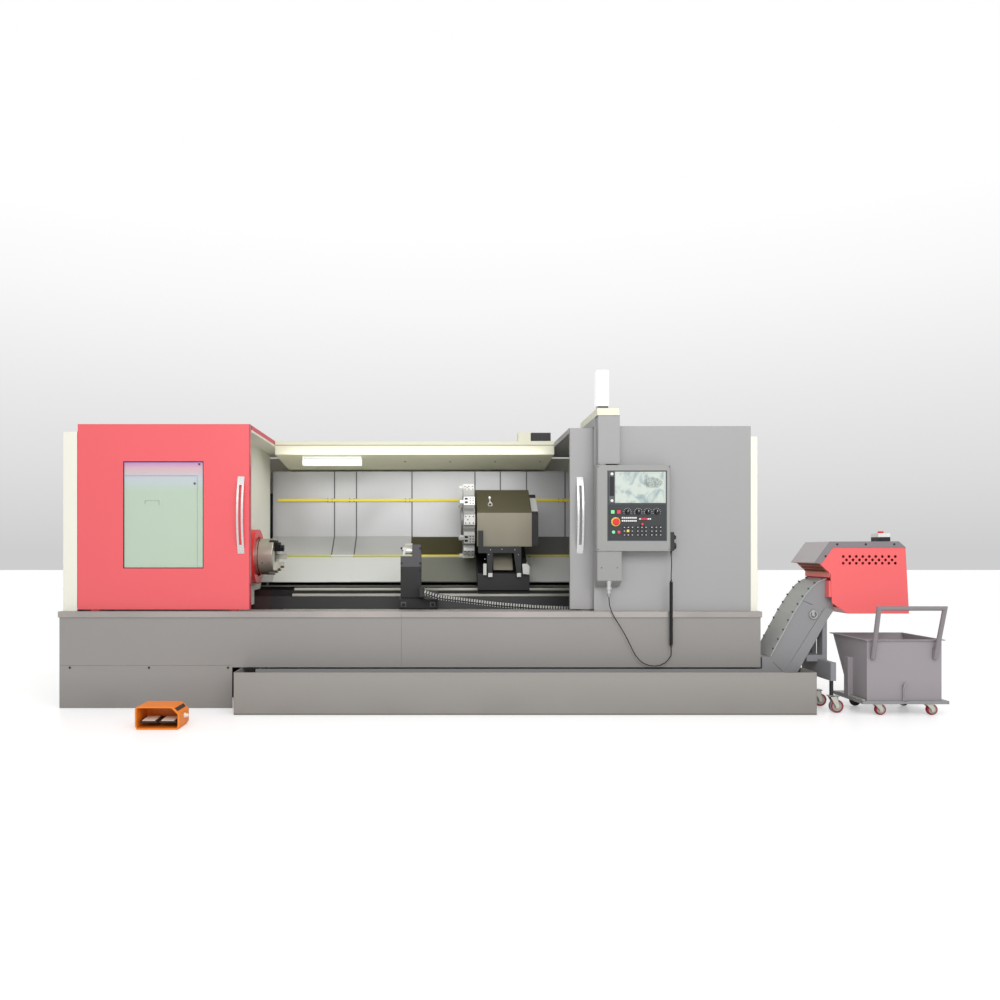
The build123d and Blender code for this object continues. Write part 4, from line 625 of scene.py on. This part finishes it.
def finishPiece(name, bm, body, finishNames, soften=0.0, sharp=32):
    # Softened edges, outward faces, and an object riding on its body
    if soften:
        edges = [e for e in bm.edges if len(e.link_faces) == 2 and e.calc_face_angle(0) > 0.6]
        bmesh.ops.bevel(bm, geom=edges, offset=soften * mm, segments=2, affect="EDGES", profile=0.6,
                        clamp_overlap=True)
    bmesh.ops.recalc_face_normals(bm, faces=bm.faces)
    mesh = bpy.data.meshes.new(name)
    bm.to_mesh(mesh)
    bm.free()
    mesh.polygons.foreach_set("use_smooth", [True] * len(mesh.polygons))
    mesh.set_sharp_from_angle(angle=math.radians(sharp))
    for finish in finishNames:
        mesh.materials.append(finishes[finish])
    piece = bpy.data.objects.new(name, mesh)
    bpy.context.scene.collection.objects.link(piece)
    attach(piece, body)
    return piece


# Geometry Nodes: one small shape set on every point of a mesh, turned by the point's own angles
def buildScatter(name, shape):
    tree = bpy.data.node_groups.new(name, "GeometryNodeTree")
    face = tree.interface
    face.new_socket("Points", in_out="INPUT", socket_type="NodeSocketGeometry")
    for label, start in (("Width", 0.01), ("Depth", 0.01), ("Height", 0.004)):
        face.new_socket(label, in_out="INPUT", socket_type="NodeSocketFloat").default_value = start
    face.new_socket("Finish", in_out="INPUT", socket_type="NodeSocketMaterial")
    face.new_socket("Shape", in_out="OUTPUT", socket_type="NodeSocketGeometry")
    source, result = tree.nodes.new("NodeGroupInput"), tree.nodes.new("NodeGroupOutput")
    out = source.outputs
    joined = tree.nodes.new("GeometryNodeJoinGeometry")
    if shape == "screw":
        body = addNode(tree, "GeometryNodeMeshCylinder", {"Radius": out["Width"], "Depth": out["Height"]},
                       Vertices=12)
        crown = addNode(tree, "GeometryNodeMeshCone",
                        {"Radius Bottom": out["Width"], "Radius Top": out["Depth"]}, Vertices=12)
        half = reckon(tree, "MULTIPLY", out["Height"], 0.5)
        tree.links.new(half, crown.inputs["Depth"])
        lift = addNode(tree, "ShaderNodeCombineXYZ", {"Z": half})
        moved = addNode(tree, "GeometryNodeTransform",
                        {"Geometry": crown.outputs["Mesh"], "Translation": lift.outputs[0]})
        tree.links.new(body.outputs["Mesh"], joined.inputs[0])
        tree.links.new(moved.outputs[0], joined.inputs[0])
    else:
        size = addNode(tree, "ShaderNodeCombineXYZ",
                       {"X": out["Width"], "Y": out["Depth"], "Z": out["Height"]})
        block = addNode(tree, "GeometryNodeMeshCube", {"Size": size.outputs[0]})
        tree.links.new(block.outputs["Mesh"], joined.inputs[0])
    turned = addNode(tree, "GeometryNodeInputNamedAttribute", data_type="FLOAT_VECTOR", Name="turned")
    angles = addNode(tree, "FunctionNodeEulerToRotation", {0: turned.outputs[0]})
    spread = addNode(tree, "GeometryNodeInstanceOnPoints",
                     {"Points": out["Points"], "Instance": joined.outputs[0], "Rotation": angles.outputs[0]})
    solid = addNode(tree, "GeometryNodeRealizeInstances", {0: spread.outputs[0]})
    coloured = addNode(tree, "GeometryNodeSetMaterial",
                       {"Geometry": solid.outputs[0], "Material": out["Finish"]})
    tree.links.new(coloured.outputs[0], result.inputs[0])
    return tree


scatterTrees = {"screw": buildScatter("screwRows", "screw"), "block": buildScatter("blockRows", "block")}
front = (math.pi / 2, 0, 0)  # turns a shape towards the viewer


def scatter(name, kind, spots, size, body, finish):
    # spots are (x, y, z, turn), places in mm and turn as three angles
    mesh = bpy.data.meshes.new(name + "Points")
    mesh.from_pydata([[v * mm for v in spot[:3]] for spot in spots], [], [])
    turns = mesh.attributes.new("turned", "FLOAT_VECTOR", "POINT")
    for item, spot in zip(turns.data, spots):
        item.vector = spot[3]
    piece = bpy.data.objects.new(name, mesh)
    bpy.context.scene.collection.objects.link(piece)
    tree = scatterTrees[kind]
    modifier = piece.modifiers.new("rows", "NODES")
    modifier.node_group = tree
    sockets = {item.name: item.identifier for item in tree.interface.items_tree if item.in_out == "INPUT"}
    for label, value in zip(("Width", "Depth", "Height"), size):
        modifier[sockets[label]] = value * mm
    modifier[sockets["Finish"]] = finishes[finish]
    bpy.context.view_layer.update()
    made = bpy.data.meshes.new_from_object(piece.evaluated_get(bpy.context.evaluated_depsgraph_get()))
    piece.modifiers.remove(modifier)
    piece.data = made
    made.name = name
    if not made.materials:
        made.materials.append(finishes[finish])
    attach(piece, body)
    return piece


print("tools ready")

# Yellow strips along the way covers, above the bend and low on the slope
strips = {"upperZ": 1632, "halfTall": 13, "upperBack": 856, "upperThick": 6, "lowerReach": 352,
          "halfWide": 8, "lift": 15, "left": -1900, "lowerLeft": -1800, "right": 1860,
          "screwSeams": (-1374, -1169, -651, 416, 776, 1140)}
slopeFoot, slopeHead = (361, 889), (868, 1295)  # the way covers' slope, as (y, z)
slopeAngle = math.atan2(slopeHead[1] - slopeFoot[1], slopeHead[0] - slopeFoot[0])
slopeC, slopeS = math.cos(slopeAngle), math.sin(slopeAngle)
bm = bmesh.new()
addBox(bm,
       (strips["left"], strips["upperBack"] - strips["upperThick"], strips["upperZ"] - strips["halfTall"]),
       (strips["right"], strips["upperBack"], strips["upperZ"] + strips["halfTall"]))
foot = []
for side, lift in ((-1, 0), (1, 0), (1, strips["lift"]), (-1, strips["lift"])):
    reach = strips["lowerReach"] + side * strips["halfWide"]
    foot.append((slopeFoot[0] + reach * slopeC - lift * slopeS,
                 slopeFoot[1] + reach * slopeS + lift * slopeC))
addPrism(bm, foot, "x", strips["lowerLeft"], strips["right"])
finishPiece("coverStrips", bm, "machine", ["yellow"], soften=1.0)
stripScrews = [(x + dx, 848, strips["upperZ"] + dz, front) for x in strips["screwSeams"]
               for dx in (-60, -20) for dz in (-13, 13)]
scatter("stripScrews", "screw", stripScrews, (5, 3.5, 4), "machine", "bolt")

# Screws on the casing's skirt, the soffit and the conveyor's cover
scatter("skirtScrews", "screw", [(x, -733, 298, front) for x in (-3117, -2534, -1952)], (8, 6, 4),
        "machine", "black")
scatter("soffitScrews", "screw", [(x, 500, 1953, (math.pi, 0, 0)) for x in range(-1500, 560, 400)],
        (7, 5, 5), "machine", "bolt")
edgePlaces = [(2075, 431), (2112, 501), (2150, 571), (2186, 640), (2219, 702), (2256, 760), (2292, 817),
              (2336, 873), (2380, 917), (2436, 947)]
coverBolts = [(x - 6, y, z + 6, (0, -0.9, 0)) for x, z in edgePlaces for y in (-722, -462)]
scatter("coverBolts", "screw", coverBolts, (6.5, 5, 9), "machine", "bolt")
hoodPlaces = ((2423, 1120), (2508, 1206), (2716, 1206), (2924, 1206))
scatter("hoodScrews", "screw", [(x, -790.5, z, front) for x, z in hoodPlaces], (8, 6, 3), "machine",
        "black")

# Conveyor: joint lines on its side, and the lifting ring with its lug
bm = bmesh.new()
for (x0, z0), (x1, z1) in (((2284, 791), (2358, 761)), ((2417, 716), (2462, 698)),
                           ((2066, 338), (2138, 268))):
    addPrism(bm, ((x0, z0 - 2), (x1, z1 - 2), (x1, z1 + 2), (x0, z0 + 2)), "y", -728, -726, 1)
addBox(bm, (2346, -742, 678), (2366, -726, 722))
addRing(bm, (2360, -737, 688), "y", 27, 5)
finishPiece("liftingRing", bm, "machine", ["plate", "bolt"], soften=0.8)
# Perforated sheet under the hood's left end: rows of dark blocks down its slanted face for its holes, their
# dark brown is painted shade inside them
slant = ((2368, 1079), (2460, 992))
holes = []
for row in range(3):
    share = 0.24 + row * 0.26
    x = slant[0][0] + share * (slant[1][0] - slant[0][0])
    z = slant[0][1] + share * (slant[1][1] - slant[0][1])
    holes += [(x - 1.2, y, z - 1.2, (0, math.radians(226), 0)) for y in range(-757, -420, 30)]
scatter("grilleShadeBlocks", "block", holes, (19, 15, 2), "machine", "holeShade")


# Casters: tyres, cores and zinc forks over the CAD wheels
def addCaster(bm, x, y, radius, width):
    half = width / 2
    side = [(half, 7), (half, radius * 0.66), (half + 0.6, radius * 0.70), (half, radius * 0.93),
            (half / 2, radius)]
    profile = [(-along, reach) for along, reach in side] + side[::-1]
    addTurned(bm, (x, y, radius), "y", profile, 40, (1, 1, 0, 0, 0, 0, 0, 1, 1))
    addTurned(bm, (x, y, radius), "y", [(-width / 2 - 9, 8), (width / 2 + 9, 8)], 16, (2,))


def addFork(bm, x, y, radius, width, swivel, top):
    for side in (-1, 1):
        face = y + side * (width / 2 + 5)
        addPrism(bm, ((swivel - 20, top), (swivel + 28, top), (x + 13, radius + 4), (x + 9, radius - 13),
                      (x - 9, radius - 13), (x - 13, radius + 4)),
                 "y", face - 2.4, face + 2.4, 2)
    addBox(bm, (swivel - 24, y - width / 2 - 9, top - 3), (swivel + 32, y + width / 2 + 9, top + 3), 2)


cartCasters = {"frontX": 2717, "stepX": 364, "frontY": -980, "stepY": 348, "radius": 39, "width": 26,
               "trail": 28, "forkWidth": 30, "forkTop": 77}
standCasters = {"x": 2445, "ys": (-902, -645), "radius": 48, "trail": 34, "width": 29, "forkWidth": 36,
                "forkTop": 122}
bm = bmesh.new()
for column in range(2):
    for row in range(2):
        x = cartCasters["frontX"] + column * cartCasters["stepX"]
        y = cartCasters["frontY"] + row * cartCasters["stepY"]
        before = len(bm.faces)
        addCaster(bm, x, y, cartCasters["radius"], cartCasters["width"])
        if row:
            bm.faces.ensure_lookup_table()
            for face in bm.faces[before:]:
                face.material_index = 3
cartWheels = finishPiece("cartWheels", bm, "machine",
                         ["tyreRed", "core", "zinc", "tyreBlack"], sharp=40)
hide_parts("cart_wheels")
bm = bmesh.new()
for column in range(2):
    x = cartCasters["frontX"] + column * cartCasters["stepX"]
    addFork(bm, x, cartCasters["frontY"], cartCasters["radius"], cartCasters["forkWidth"],
            x - cartCasters["trail"], cartCasters["forkTop"])
for y in standCasters["ys"]:
    x, radius = standCasters["x"], standCasters["radius"]
    addCaster(bm, x, y, radius - 0.2, standCasters["width"])  # just inside the plain wheel
    addFork(bm, x, y, radius, standCasters["forkWidth"], x - standCasters["trail"], standCasters["forkTop"])
finishPiece("casterForks", bm, "machine", ["tyreRed", "core", "zinc"], soften=0.8, sharp=40)

# Cart: the latch, and the pale rails on the frame
bm = bmesh.new()
addPrism(bm, ((2866, 208), (2880, 232), (2892, 232), (2892, 222), (2884, 222), (2884, 80), (2874, 80),
              (2874, 200)), "y", -1010, -1004)
addBox(bm, (2863, -1012, 84), (2890, -1004, 98))
finishPiece("cartLatch", bm, "machine", ["tub"], soften=1.2)
bm = bmesh.new()
addBox(bm, (2588, -990, 102.4), (2606, -640, 110))
addBox(bm, (2640, -760, 102.4), (3120, -742, 108))
finishPiece("frameRails", bm, "machine", ["zinc"], soften=1.0)

# Tool blocks: black square sockets and clamp screws on their outer faces
spindleY, spindleZ = 48, 1112
turretReach, discRadius, blockHeight, stations = 495, 268, 56.4, 12
turretY, turretZ = spindleY + turretReach * slopeC, spindleZ + turretReach * slopeS
sockets, dots = [], []
for station in range(stations):
    angle = 2 * math.pi * station / stations
    out = discRadius + blockHeight
    spin = (angle - math.pi / 2, 0, 0)

    def onBlock(across, along, angle=angle, out=out):
        # across runs along X from the disc's middle, along runs round the disc
        return (-142 + across, turretY + out * math.cos(angle) - along * math.sin(angle),
                turretZ + out * math.sin(angle) + along * math.cos(angle))
    if station % 2:
        sockets += [(*onBlock(-26, 16), spin), (*onBlock(-26, -20), spin)]
        dots += [(*onBlock(x, v), spin) for x in (8, 32) for v in (-26, 0, 26)]
    else:
        dots += [(*onBlock(x, v), spin) for x in (-32, 0, 32) for v in (-28, 28)] + [(*onBlock(-14, 0), spin)]
scatter("turretSockets", "block", sockets, (26, 20, 2), "turret", "black")
scatter("turretScrews", "screw", dots, (5.5, 4, 2.4), "turret", "black")
bm = bmesh.new()
addTurned(bm, (-190, turretY, turretZ), "x", [(2, 104), (-3, 100), (-3, 60), (1, 56), (1, 20), (-2, 16)], 48)
finishPiece("turretHub", bm, "turret", ["turret"], sharp=30)

# Turret housing: lifting hook with its rings
bm = bmesh.new()
addPrism(bm, ((250, 1566), (258, 1560), (344, 1628), (338, 1636)), "x", 34, 44)
addRing(bm, (39, 232, 1556), "y", 16, 5)
addRing(bm, (39, 252, 1580), "x", 9, 4)
addTurned(bm, (39, 312, 1618), "y", [(-8, 8), (-6, 12), (2, 12)], 20)
finishPiece("liftingHook", bm, "slide", ["steadySteel"], soften=0.8)
# Portal: silver brackets, the slanted steel sheet between the struts, and its screws
bm = bmesh.new()
addBox(bm, (-27, 98, 956), (0, 105.6, 1052))
addPrism(bm, ((306, 966), (360, 960), (362, 1030), (340, 1052), (300, 1050)), "y", 98, 105.6)
addBox(bm, (14, 99, 940), (50, 105.6, 973))
addBox(bm, (256, 99, 940), (290, 105.6, 973))
finishPiece("portalBrackets", bm, "slide", ["steadySteel"], soften=1.5)
portalPlaces = ((35, 1168), (130, 1172), (238, 1168), (20, 1128), (270, 1128), (-14, 970), (-14, 1010),
                (-14, 1090), (336, 990), (340, 1060))
scatter("portalScrews", "screw", [(x, 105, z, front) for x, z in portalPlaces], (4.5, 3.2, 3), "slide",
        "steadySteel")
bm = bmesh.new()
addPrism(bm, ((150, 998), (162, 996), (250, 1136), (240, 1142)), "x", 62, 226)
finishPiece("slideSheet", bm, "slide", ["housing"], soften=1.0)

# Chuck: jaw screws and body screws
bm = bmesh.new()
for angle in (30, 150, 270):
    out = math.radians(angle)
    addTurned(bm, (-1756, spindleY + 118 * math.cos(out), spindleZ + 118 * math.sin(out)), "x",
              [(-2, 9), (1.2, 9), (2, 7)], 16)
for angle in (200, 320, 80):
    out = math.radians(angle)
    addTurned(bm, (-1840, spindleY + 146 * math.cos(out), spindleZ + 146 * math.sin(out)), "x",
              [(-6, 6), (6, 6)], 12)
finishPiece("chuckScrews", bm, "spindle", ["black"])

# Steady rest: roller, bolts at the head's corners, clamps at its foot
bm = bmesh.new()
addTurned(bm, (-690, -20, 1172), "x", [(-18, 8), (-16, 15), (14, 15), (16, 8)], 24)
addBox(bm, (-688, -150, 1115.4), (-618, -100, 1121))
addPrism(bm, ((-690, 1120), (-676, 1120), (-664, 1160), (-668, 1190), (-680, 1190), (-686, 1160)), "y",
         -176, -164)
for x in (-700, -548):
    for z in (786, 1000, 1060, 1180):
        addTurned(bm, (x, -173, z), "y", [(-7, 7), (-5, 9), (1, 9)], 16, (1,) * 2)
finishPiece("steadyFittings", bm, "steady", ["steadySteel", "black"], soften=0.6)
bm = bmesh.new()
for x in (-700, -470):
    addBox(bm, (x, -296, 716), (x + 44, -292.3, 756))
    addTurned(bm, (x + 22, -300, 736), "y", [(-5, 9), (-3, 12), (6, 12)], 20, (1,) * 2)
finishPiece("footClamps", bm, "steady", ["bolt", "black"], soften=1.0)

# Cable chain: painted highlights on its black links, as bright ribs on its upper half and pale dashes along
# its lower edge
chainPoints = ((-515, 853), (-390, 814), (48, 759), (340, 735), (631, 722), (1510, 720))
chain = {"pitch": 20, "front": -412.5}
ribs, dashHighlights = [], []
for (x0, z0), (x1, z1) in zip(chainPoints, chainPoints[1:]):
    run = math.hypot(x1 - x0, z1 - z0)
    lean = math.atan2(z1 - z0, x1 - x0)
    count = int(run / chain["pitch"])
    for number in range(count):
        share = (number + 0.5) / count
        x, z = x0 + (x1 - x0) * share, z0 + (z1 - z0) * share
        ribs.append((x, chain["front"], z - 9, (0, -lean, 0)))
        dashHighlights.append((x, chain["front"] + 1, z - 33, (0, -lean, 0)))
scatter("chainRibHighlights", "block", ribs, (12, 5, 22), "steady", "steadySteel")
scatter("chainDashHighlights", "block", dashHighlights, (9, 4, 6), "steady", "steadySteel")

# Key plate: caps, legends and dial ticks
keyY = -794
knobXs, knobZ = (977, 1055, 1126, 1190), 1442
caps, whites = [], []
for left, pitch in ((979, 29), (1078, 30), (1182, 32)):
    for column in (-1, 0, 1):
        for row in (-1, 0, 1):
            caps.append((left + column * pitch, keyY - 6, 1304 + row * 28, front))
            whites.append((left + column * pitch + 3, keyY - 7.6, 1304 + row * 28 - 2, front))
scatter("keyCaps", "block", caps, (15.6, 15.6, 3), "operator_panel", "unit")
whites = [mark for mark in whites if (mark[0], mark[2]) != (982, 1302)]  # the yellow key's place
scatter("keyMarks", "block", whites, (8, 5, 1), "operator_panel", "legend")
legendKeys = [(988 + (c - 3.5) * 14, keyY - 5.6, z, front) for c in range(8) for z in (1399, 1377)]
legendKeys += [(1104 + (c - 2.5) * 15, keyY - 5.6, 1391, front) for c in (0, 4, 5)]
scatter("legendKeys", "block", legendKeys, (10.6, 11.6, 2.4), "operator_panel", "legend")
redKeys = [(1104 + (c - 2.5) * 15, keyY - 5.6, 1391, front) for c in (1, 2, 3)]
redKeys.append((912, keyY - 6, 1442, front))
scatter("redKeys", "block", redKeys, (11.6, 15.6, 3), "operator_panel", "keyRed")
bm = bmesh.new()
addBox(bm, (855, keyY - 8, 1429), (881, keyY - 4.8, 1455), 0)
addBox(bm, (899, keyY - 8, 1429), (925, keyY - 4.8, 1455), 1)
for x, finish in ((874, 0), (913, 1)):
    addTurned(bm, (x, keyY - 5, 1294), "y", [(0, 12.4), (-3, 12.2), (-5, 9), (-5.5, 4)], 24, (finish,) * 4)
addTurned(bm, (1083, keyY - 5, 1352), "y", [(0, 10), (-6, 10), (-10, 7), (-11, 3)], 24, (1,) * 4)
addBox(bm, (970, keyY - 9, 1295), (988, keyY - 6, 1313), 2)
finishPiece("colourKeys", bm, "operator_panel", ["keyGreen", "keyRed", "keyYellow"], soften=0.7)
ticks = []
for knobX in knobXs:
    for number in range(9):
        angle = math.radians(-20 + number * 27.5)
        ticks.append((knobX + 27 * math.cos(angle), keyY - 0.6, knobZ + 27 * math.sin(angle),
                      (math.pi / 2, -angle, 0)))
scatter("dialTicks", "block", ticks, (6, 2.2, 1), "operator_panel", "legend")
bm = bmesh.new()
for knobX in knobXs:
    addTurned(bm, (knobX, keyY - 5, knobZ), "y", [(0, 17.6), (-3, 17.6), (-8, 14), (-12, 13), (-15.5, 11)],
              28)
    addBox(bm, (knobX - 1.6, keyY - 21.4, 1444), (knobX + 1.6, keyY - 20, 1456), 1)
finishPiece("dialKnobs", bm, "operator_panel", ["black", "legend"], soften=0.4)
bm = bmesh.new()
addTurned(bm, (891, keyY, 1370), "y", [(0.2, 33), (-1.6, 33), (-3.2, 30), (-3.2, 24)], 40)
finishPiece("stopRing", bm, "operator_panel", ["keyYellow"], sharp=20)
bm = bmesh.new()
for z in (1524, 1719):
    addTurned(bm, (863, -797, z), "y", [(2, 10.5), (-2, 10.5), (-4, 8), (-4.6, 3)], 28)
finishPiece("bezelCaps", bm, "operator_panel", ["legend"], sharp=20)
# Panel: duct box screws, gland, and the strain relief at the hand unit
panelScrews = [(x, -784.6, 1035, front) for x in (790, 905)]
panelScrews += [(x, -792.6, z, front) for x in (765, 1281) for z in (1170, 1772)]
scatter("panelScrews", "screw", panelScrews, (4, 3, 3), "operator_panel", "bolt")
bm = bmesh.new()
addTurned(bm, (848, -760, 940), "z", [(-118, 9), (-112, 14), (-70, 15.6), (-66, 20), (-46, 20), (-42, 16),
                                      (-24, 17), (-6, 22), (2, 22)], 28)
addTurned(bm, (1305, -760, 1158), "z", [(-42, 3.6), (-30, 4.6), (-8, 7), (0, 9)], 20, (1, 1, 1))
finishPiece("leadGland", bm, "operator_panel", ["silver", "unit"], sharp=30)
bm = bmesh.new()
for z, radius in ((1258, 15.6), (1194, 23.6)):
    addTurned(bm, (1323, -748, z), "x", [(0, radius), (10, radius), (16, radius - 4), (20, radius - 6)], 24)
    for number in range(10):
        angle = 2 * math.pi * number / 10
        addTurned(bm, (1326, -748 + radius * math.cos(angle), z + radius * math.sin(angle)), "x",
                  [(-2, 2.6), (8, 2.6)], 8)
finishPiece("unitKnobs", bm, "operator_panel", ["black"], soften=0.3)

# Window: dark gasket round the pane, and the inner cover's edges, slot and screws seen through it
bm = bmesh.new()
for low, high in (((-2748, 1028), (-2150, 1034)), ((-2748, 1819), (-2150, 1825)),
                  ((-2748, 1034), (-2742, 1819)), ((-2156, 1034), (-2150, 1819))):
    addBox(bm, (low[0], -668, low[1]), (high[0], -663.4, high[1]))
finishPiece("windowGasket", bm, "left_door", ["unit"], soften=0.8)
bm = bmesh.new()
addBox(bm, (-2746, -664.6, 1716), (-2204, -663.2, 1720))
addBox(bm, (-2200, -664.6, 1036), (-2197, -663.2, 1722))
addBox(bm, (-2590, -664.6, 1531), (-2482, -663.2, 1534))
addBox(bm, (-2590, -664.6, 1506), (-2586, -663.2, 1531))
addBox(bm, (-2486, -664.6, 1500), (-2482, -663.2, 1531))
finishPiece("paneLines", bm, "left_door", ["dim"], sharp=20)
bm = bmesh.new()
for x, z in ((-2183, 1804), (-2218, 1660)):
    addTurned(bm, (x, -664, z), "y", [(-2, 7), (0, 9), (1, 9)], 16)
finishPiece("paneScrews", bm, "left_door", ["bolt"], sharp=20)
# Handles: thin plates under their feet
for name, left, face, body in (("leftFeet", -1895, -672.2, "left_door"),
                               ("rightFeet", 634, -622.2, "right_door")):
    bm = bmesh.new()
    for low, high in ((1134, 1176), (1674, 1716)):
        addBox(bm, (left + 4, face - 2.2, low + 4), (left + 46, face, high - 4))
    finishPiece(name, bm, body, ["handle"], soften=1.2)

# Cable duct: ribs on its front, and its end fittings
ribs = [(x, 256, 2139, front) for x in range(398, 556, 12)]
scatter("ductRibs", "block", ribs, (4, 70, 6), "machine", "unit")
bm = bmesh.new()
for z in (2120, 2158):
    addTurned(bm, (386, 288, z), "x", [(0, 13), (3, 14), (8, 14), (12, 10)], 20)
finishPiece("ductGlands", bm, "machine", ["zinc"], sharp=30)
# Work light: a row of vents on the channel above it
scatter("lampVents", "block", [(x, 305, 1958, front) for x in range(-1560, -1085, 16)], (8, 5, 16),
        "machine", "bolt")

# Foot switch: pale pads on the pedals, gland at its side
for name, left, body in (("leftPad", -2339, "pedal_left"), ("rightPad", -2215, "pedal_right")):
    bm = bmesh.new()
    addPrism(bm, ((-1441, 52.4), (-1441, 55.4), (-1330, 64.2), (-1330, 61.4)), "x", left + 14, left + 98)
    finishPiece(name, bm, body, ["cream"], soften=0.8)
bm = bmesh.new()
addTurned(bm, (-2074, -1360, 74), "x", [(-3, 17), (5, 17), (8, 12), (20, 12), (24, 8)], 24)
finishPiece("footGland", bm, "machine", ["cream"], sharp=30)
print("pieces made")

# Floor, horizon and light
stageLook = {"far": 46.0, "floorShade": 0.86, "floorLift": 0.34, "sky": 0.74, "key": 235.0, "fill": 4.0}
bpy.ops.mesh.primitive_plane_add(size=1)
floor = bpy.context.object
floor.name = "shopFloor"
floor.data.transform(floor.matrix_world)
for vertex in floor.data.vertices:
    vertex.co = Vector((vertex.co.x * 160, -12 + (vertex.co.y + 0.5) * (stageLook["far"] + 12 - 0.732),
                        -0.0005))
floorMaterial = bpy.data.materials.new("paleFloor")
floorMaterial.use_nodes = True
tree = floorMaterial.node_tree
shader = tree.nodes["Principled BSDF"]
shader.inputs["Base Color"].default_value = (stageLook["floorShade"],) * 3 + (1,)
shader.inputs["Roughness"].default_value = 0.35
seen = addNode(tree, "ShaderNodeLightPath").outputs["Is Camera Ray"]
tree.links.new(reckon(tree, "MULTIPLY", seen, stageLook["floorLift"]), shader.inputs["Emission Strength"])
shader.inputs["Emission Color"].default_value = (1, 1, 1, 1)
floor.data.materials.append(floorMaterial)

world = bpy.data.worlds.new("shopLight")
world.use_nodes = True
bpy.context.scene.world = world
tree = world.node_tree
background = tree.nodes["Background"]
direction = addNode(tree, "ShaderNodeTexCoord").outputs["Generated"]
height = addNode(tree, "ShaderNodeSeparateXYZ", {"Vector": direction}).outputs["Z"]
skyStops = [(share, rgb(*[shade] * 3)) for share, shade in ((0.09, 222), (0.18, 234), (0.29, 249))]
backdrop = addRamp(tree, height, [(0.0, rgb(206, 206, 207)), *skyStops, (0.36, rgb(255, 255, 255))])
seen = addNode(tree, "ShaderNodeLightPath").outputs["Is Camera Ray"]
tree.links.new(layered(tree, seen, (1, 1, 1, 1), backdrop), background.inputs["Color"])
tree.links.new(mapped(tree, seen, 0.0, 1.0, stageLook["sky"], 1.0), background.inputs["Strength"])


def addLamp(name, place, target, size, power):
    data = bpy.data.lights.new(name, "AREA")
    data.shape = "RECTANGLE"
    data.size, data.size_y = size
    data.energy = power
    lamp = bpy.data.objects.new(name, data)
    lamp.location = place
    lamp.rotation_euler = (Vector(target) - Vector(place)).to_track_quat("-Z", "Y").to_euler()
    bpy.context.scene.collection.objects.link(lamp)


addLamp("frontSoft", (0.6, -6.5, 4.2), (0.3, 0, 1.0), (7, 3), stageLook["key"])
addLamp("insideSoft", (-0.6, 0.05, 1.93), (-0.6, 0.75, 1.2), (2.2, 0.25), stageLook["fill"])
print("stage lit")
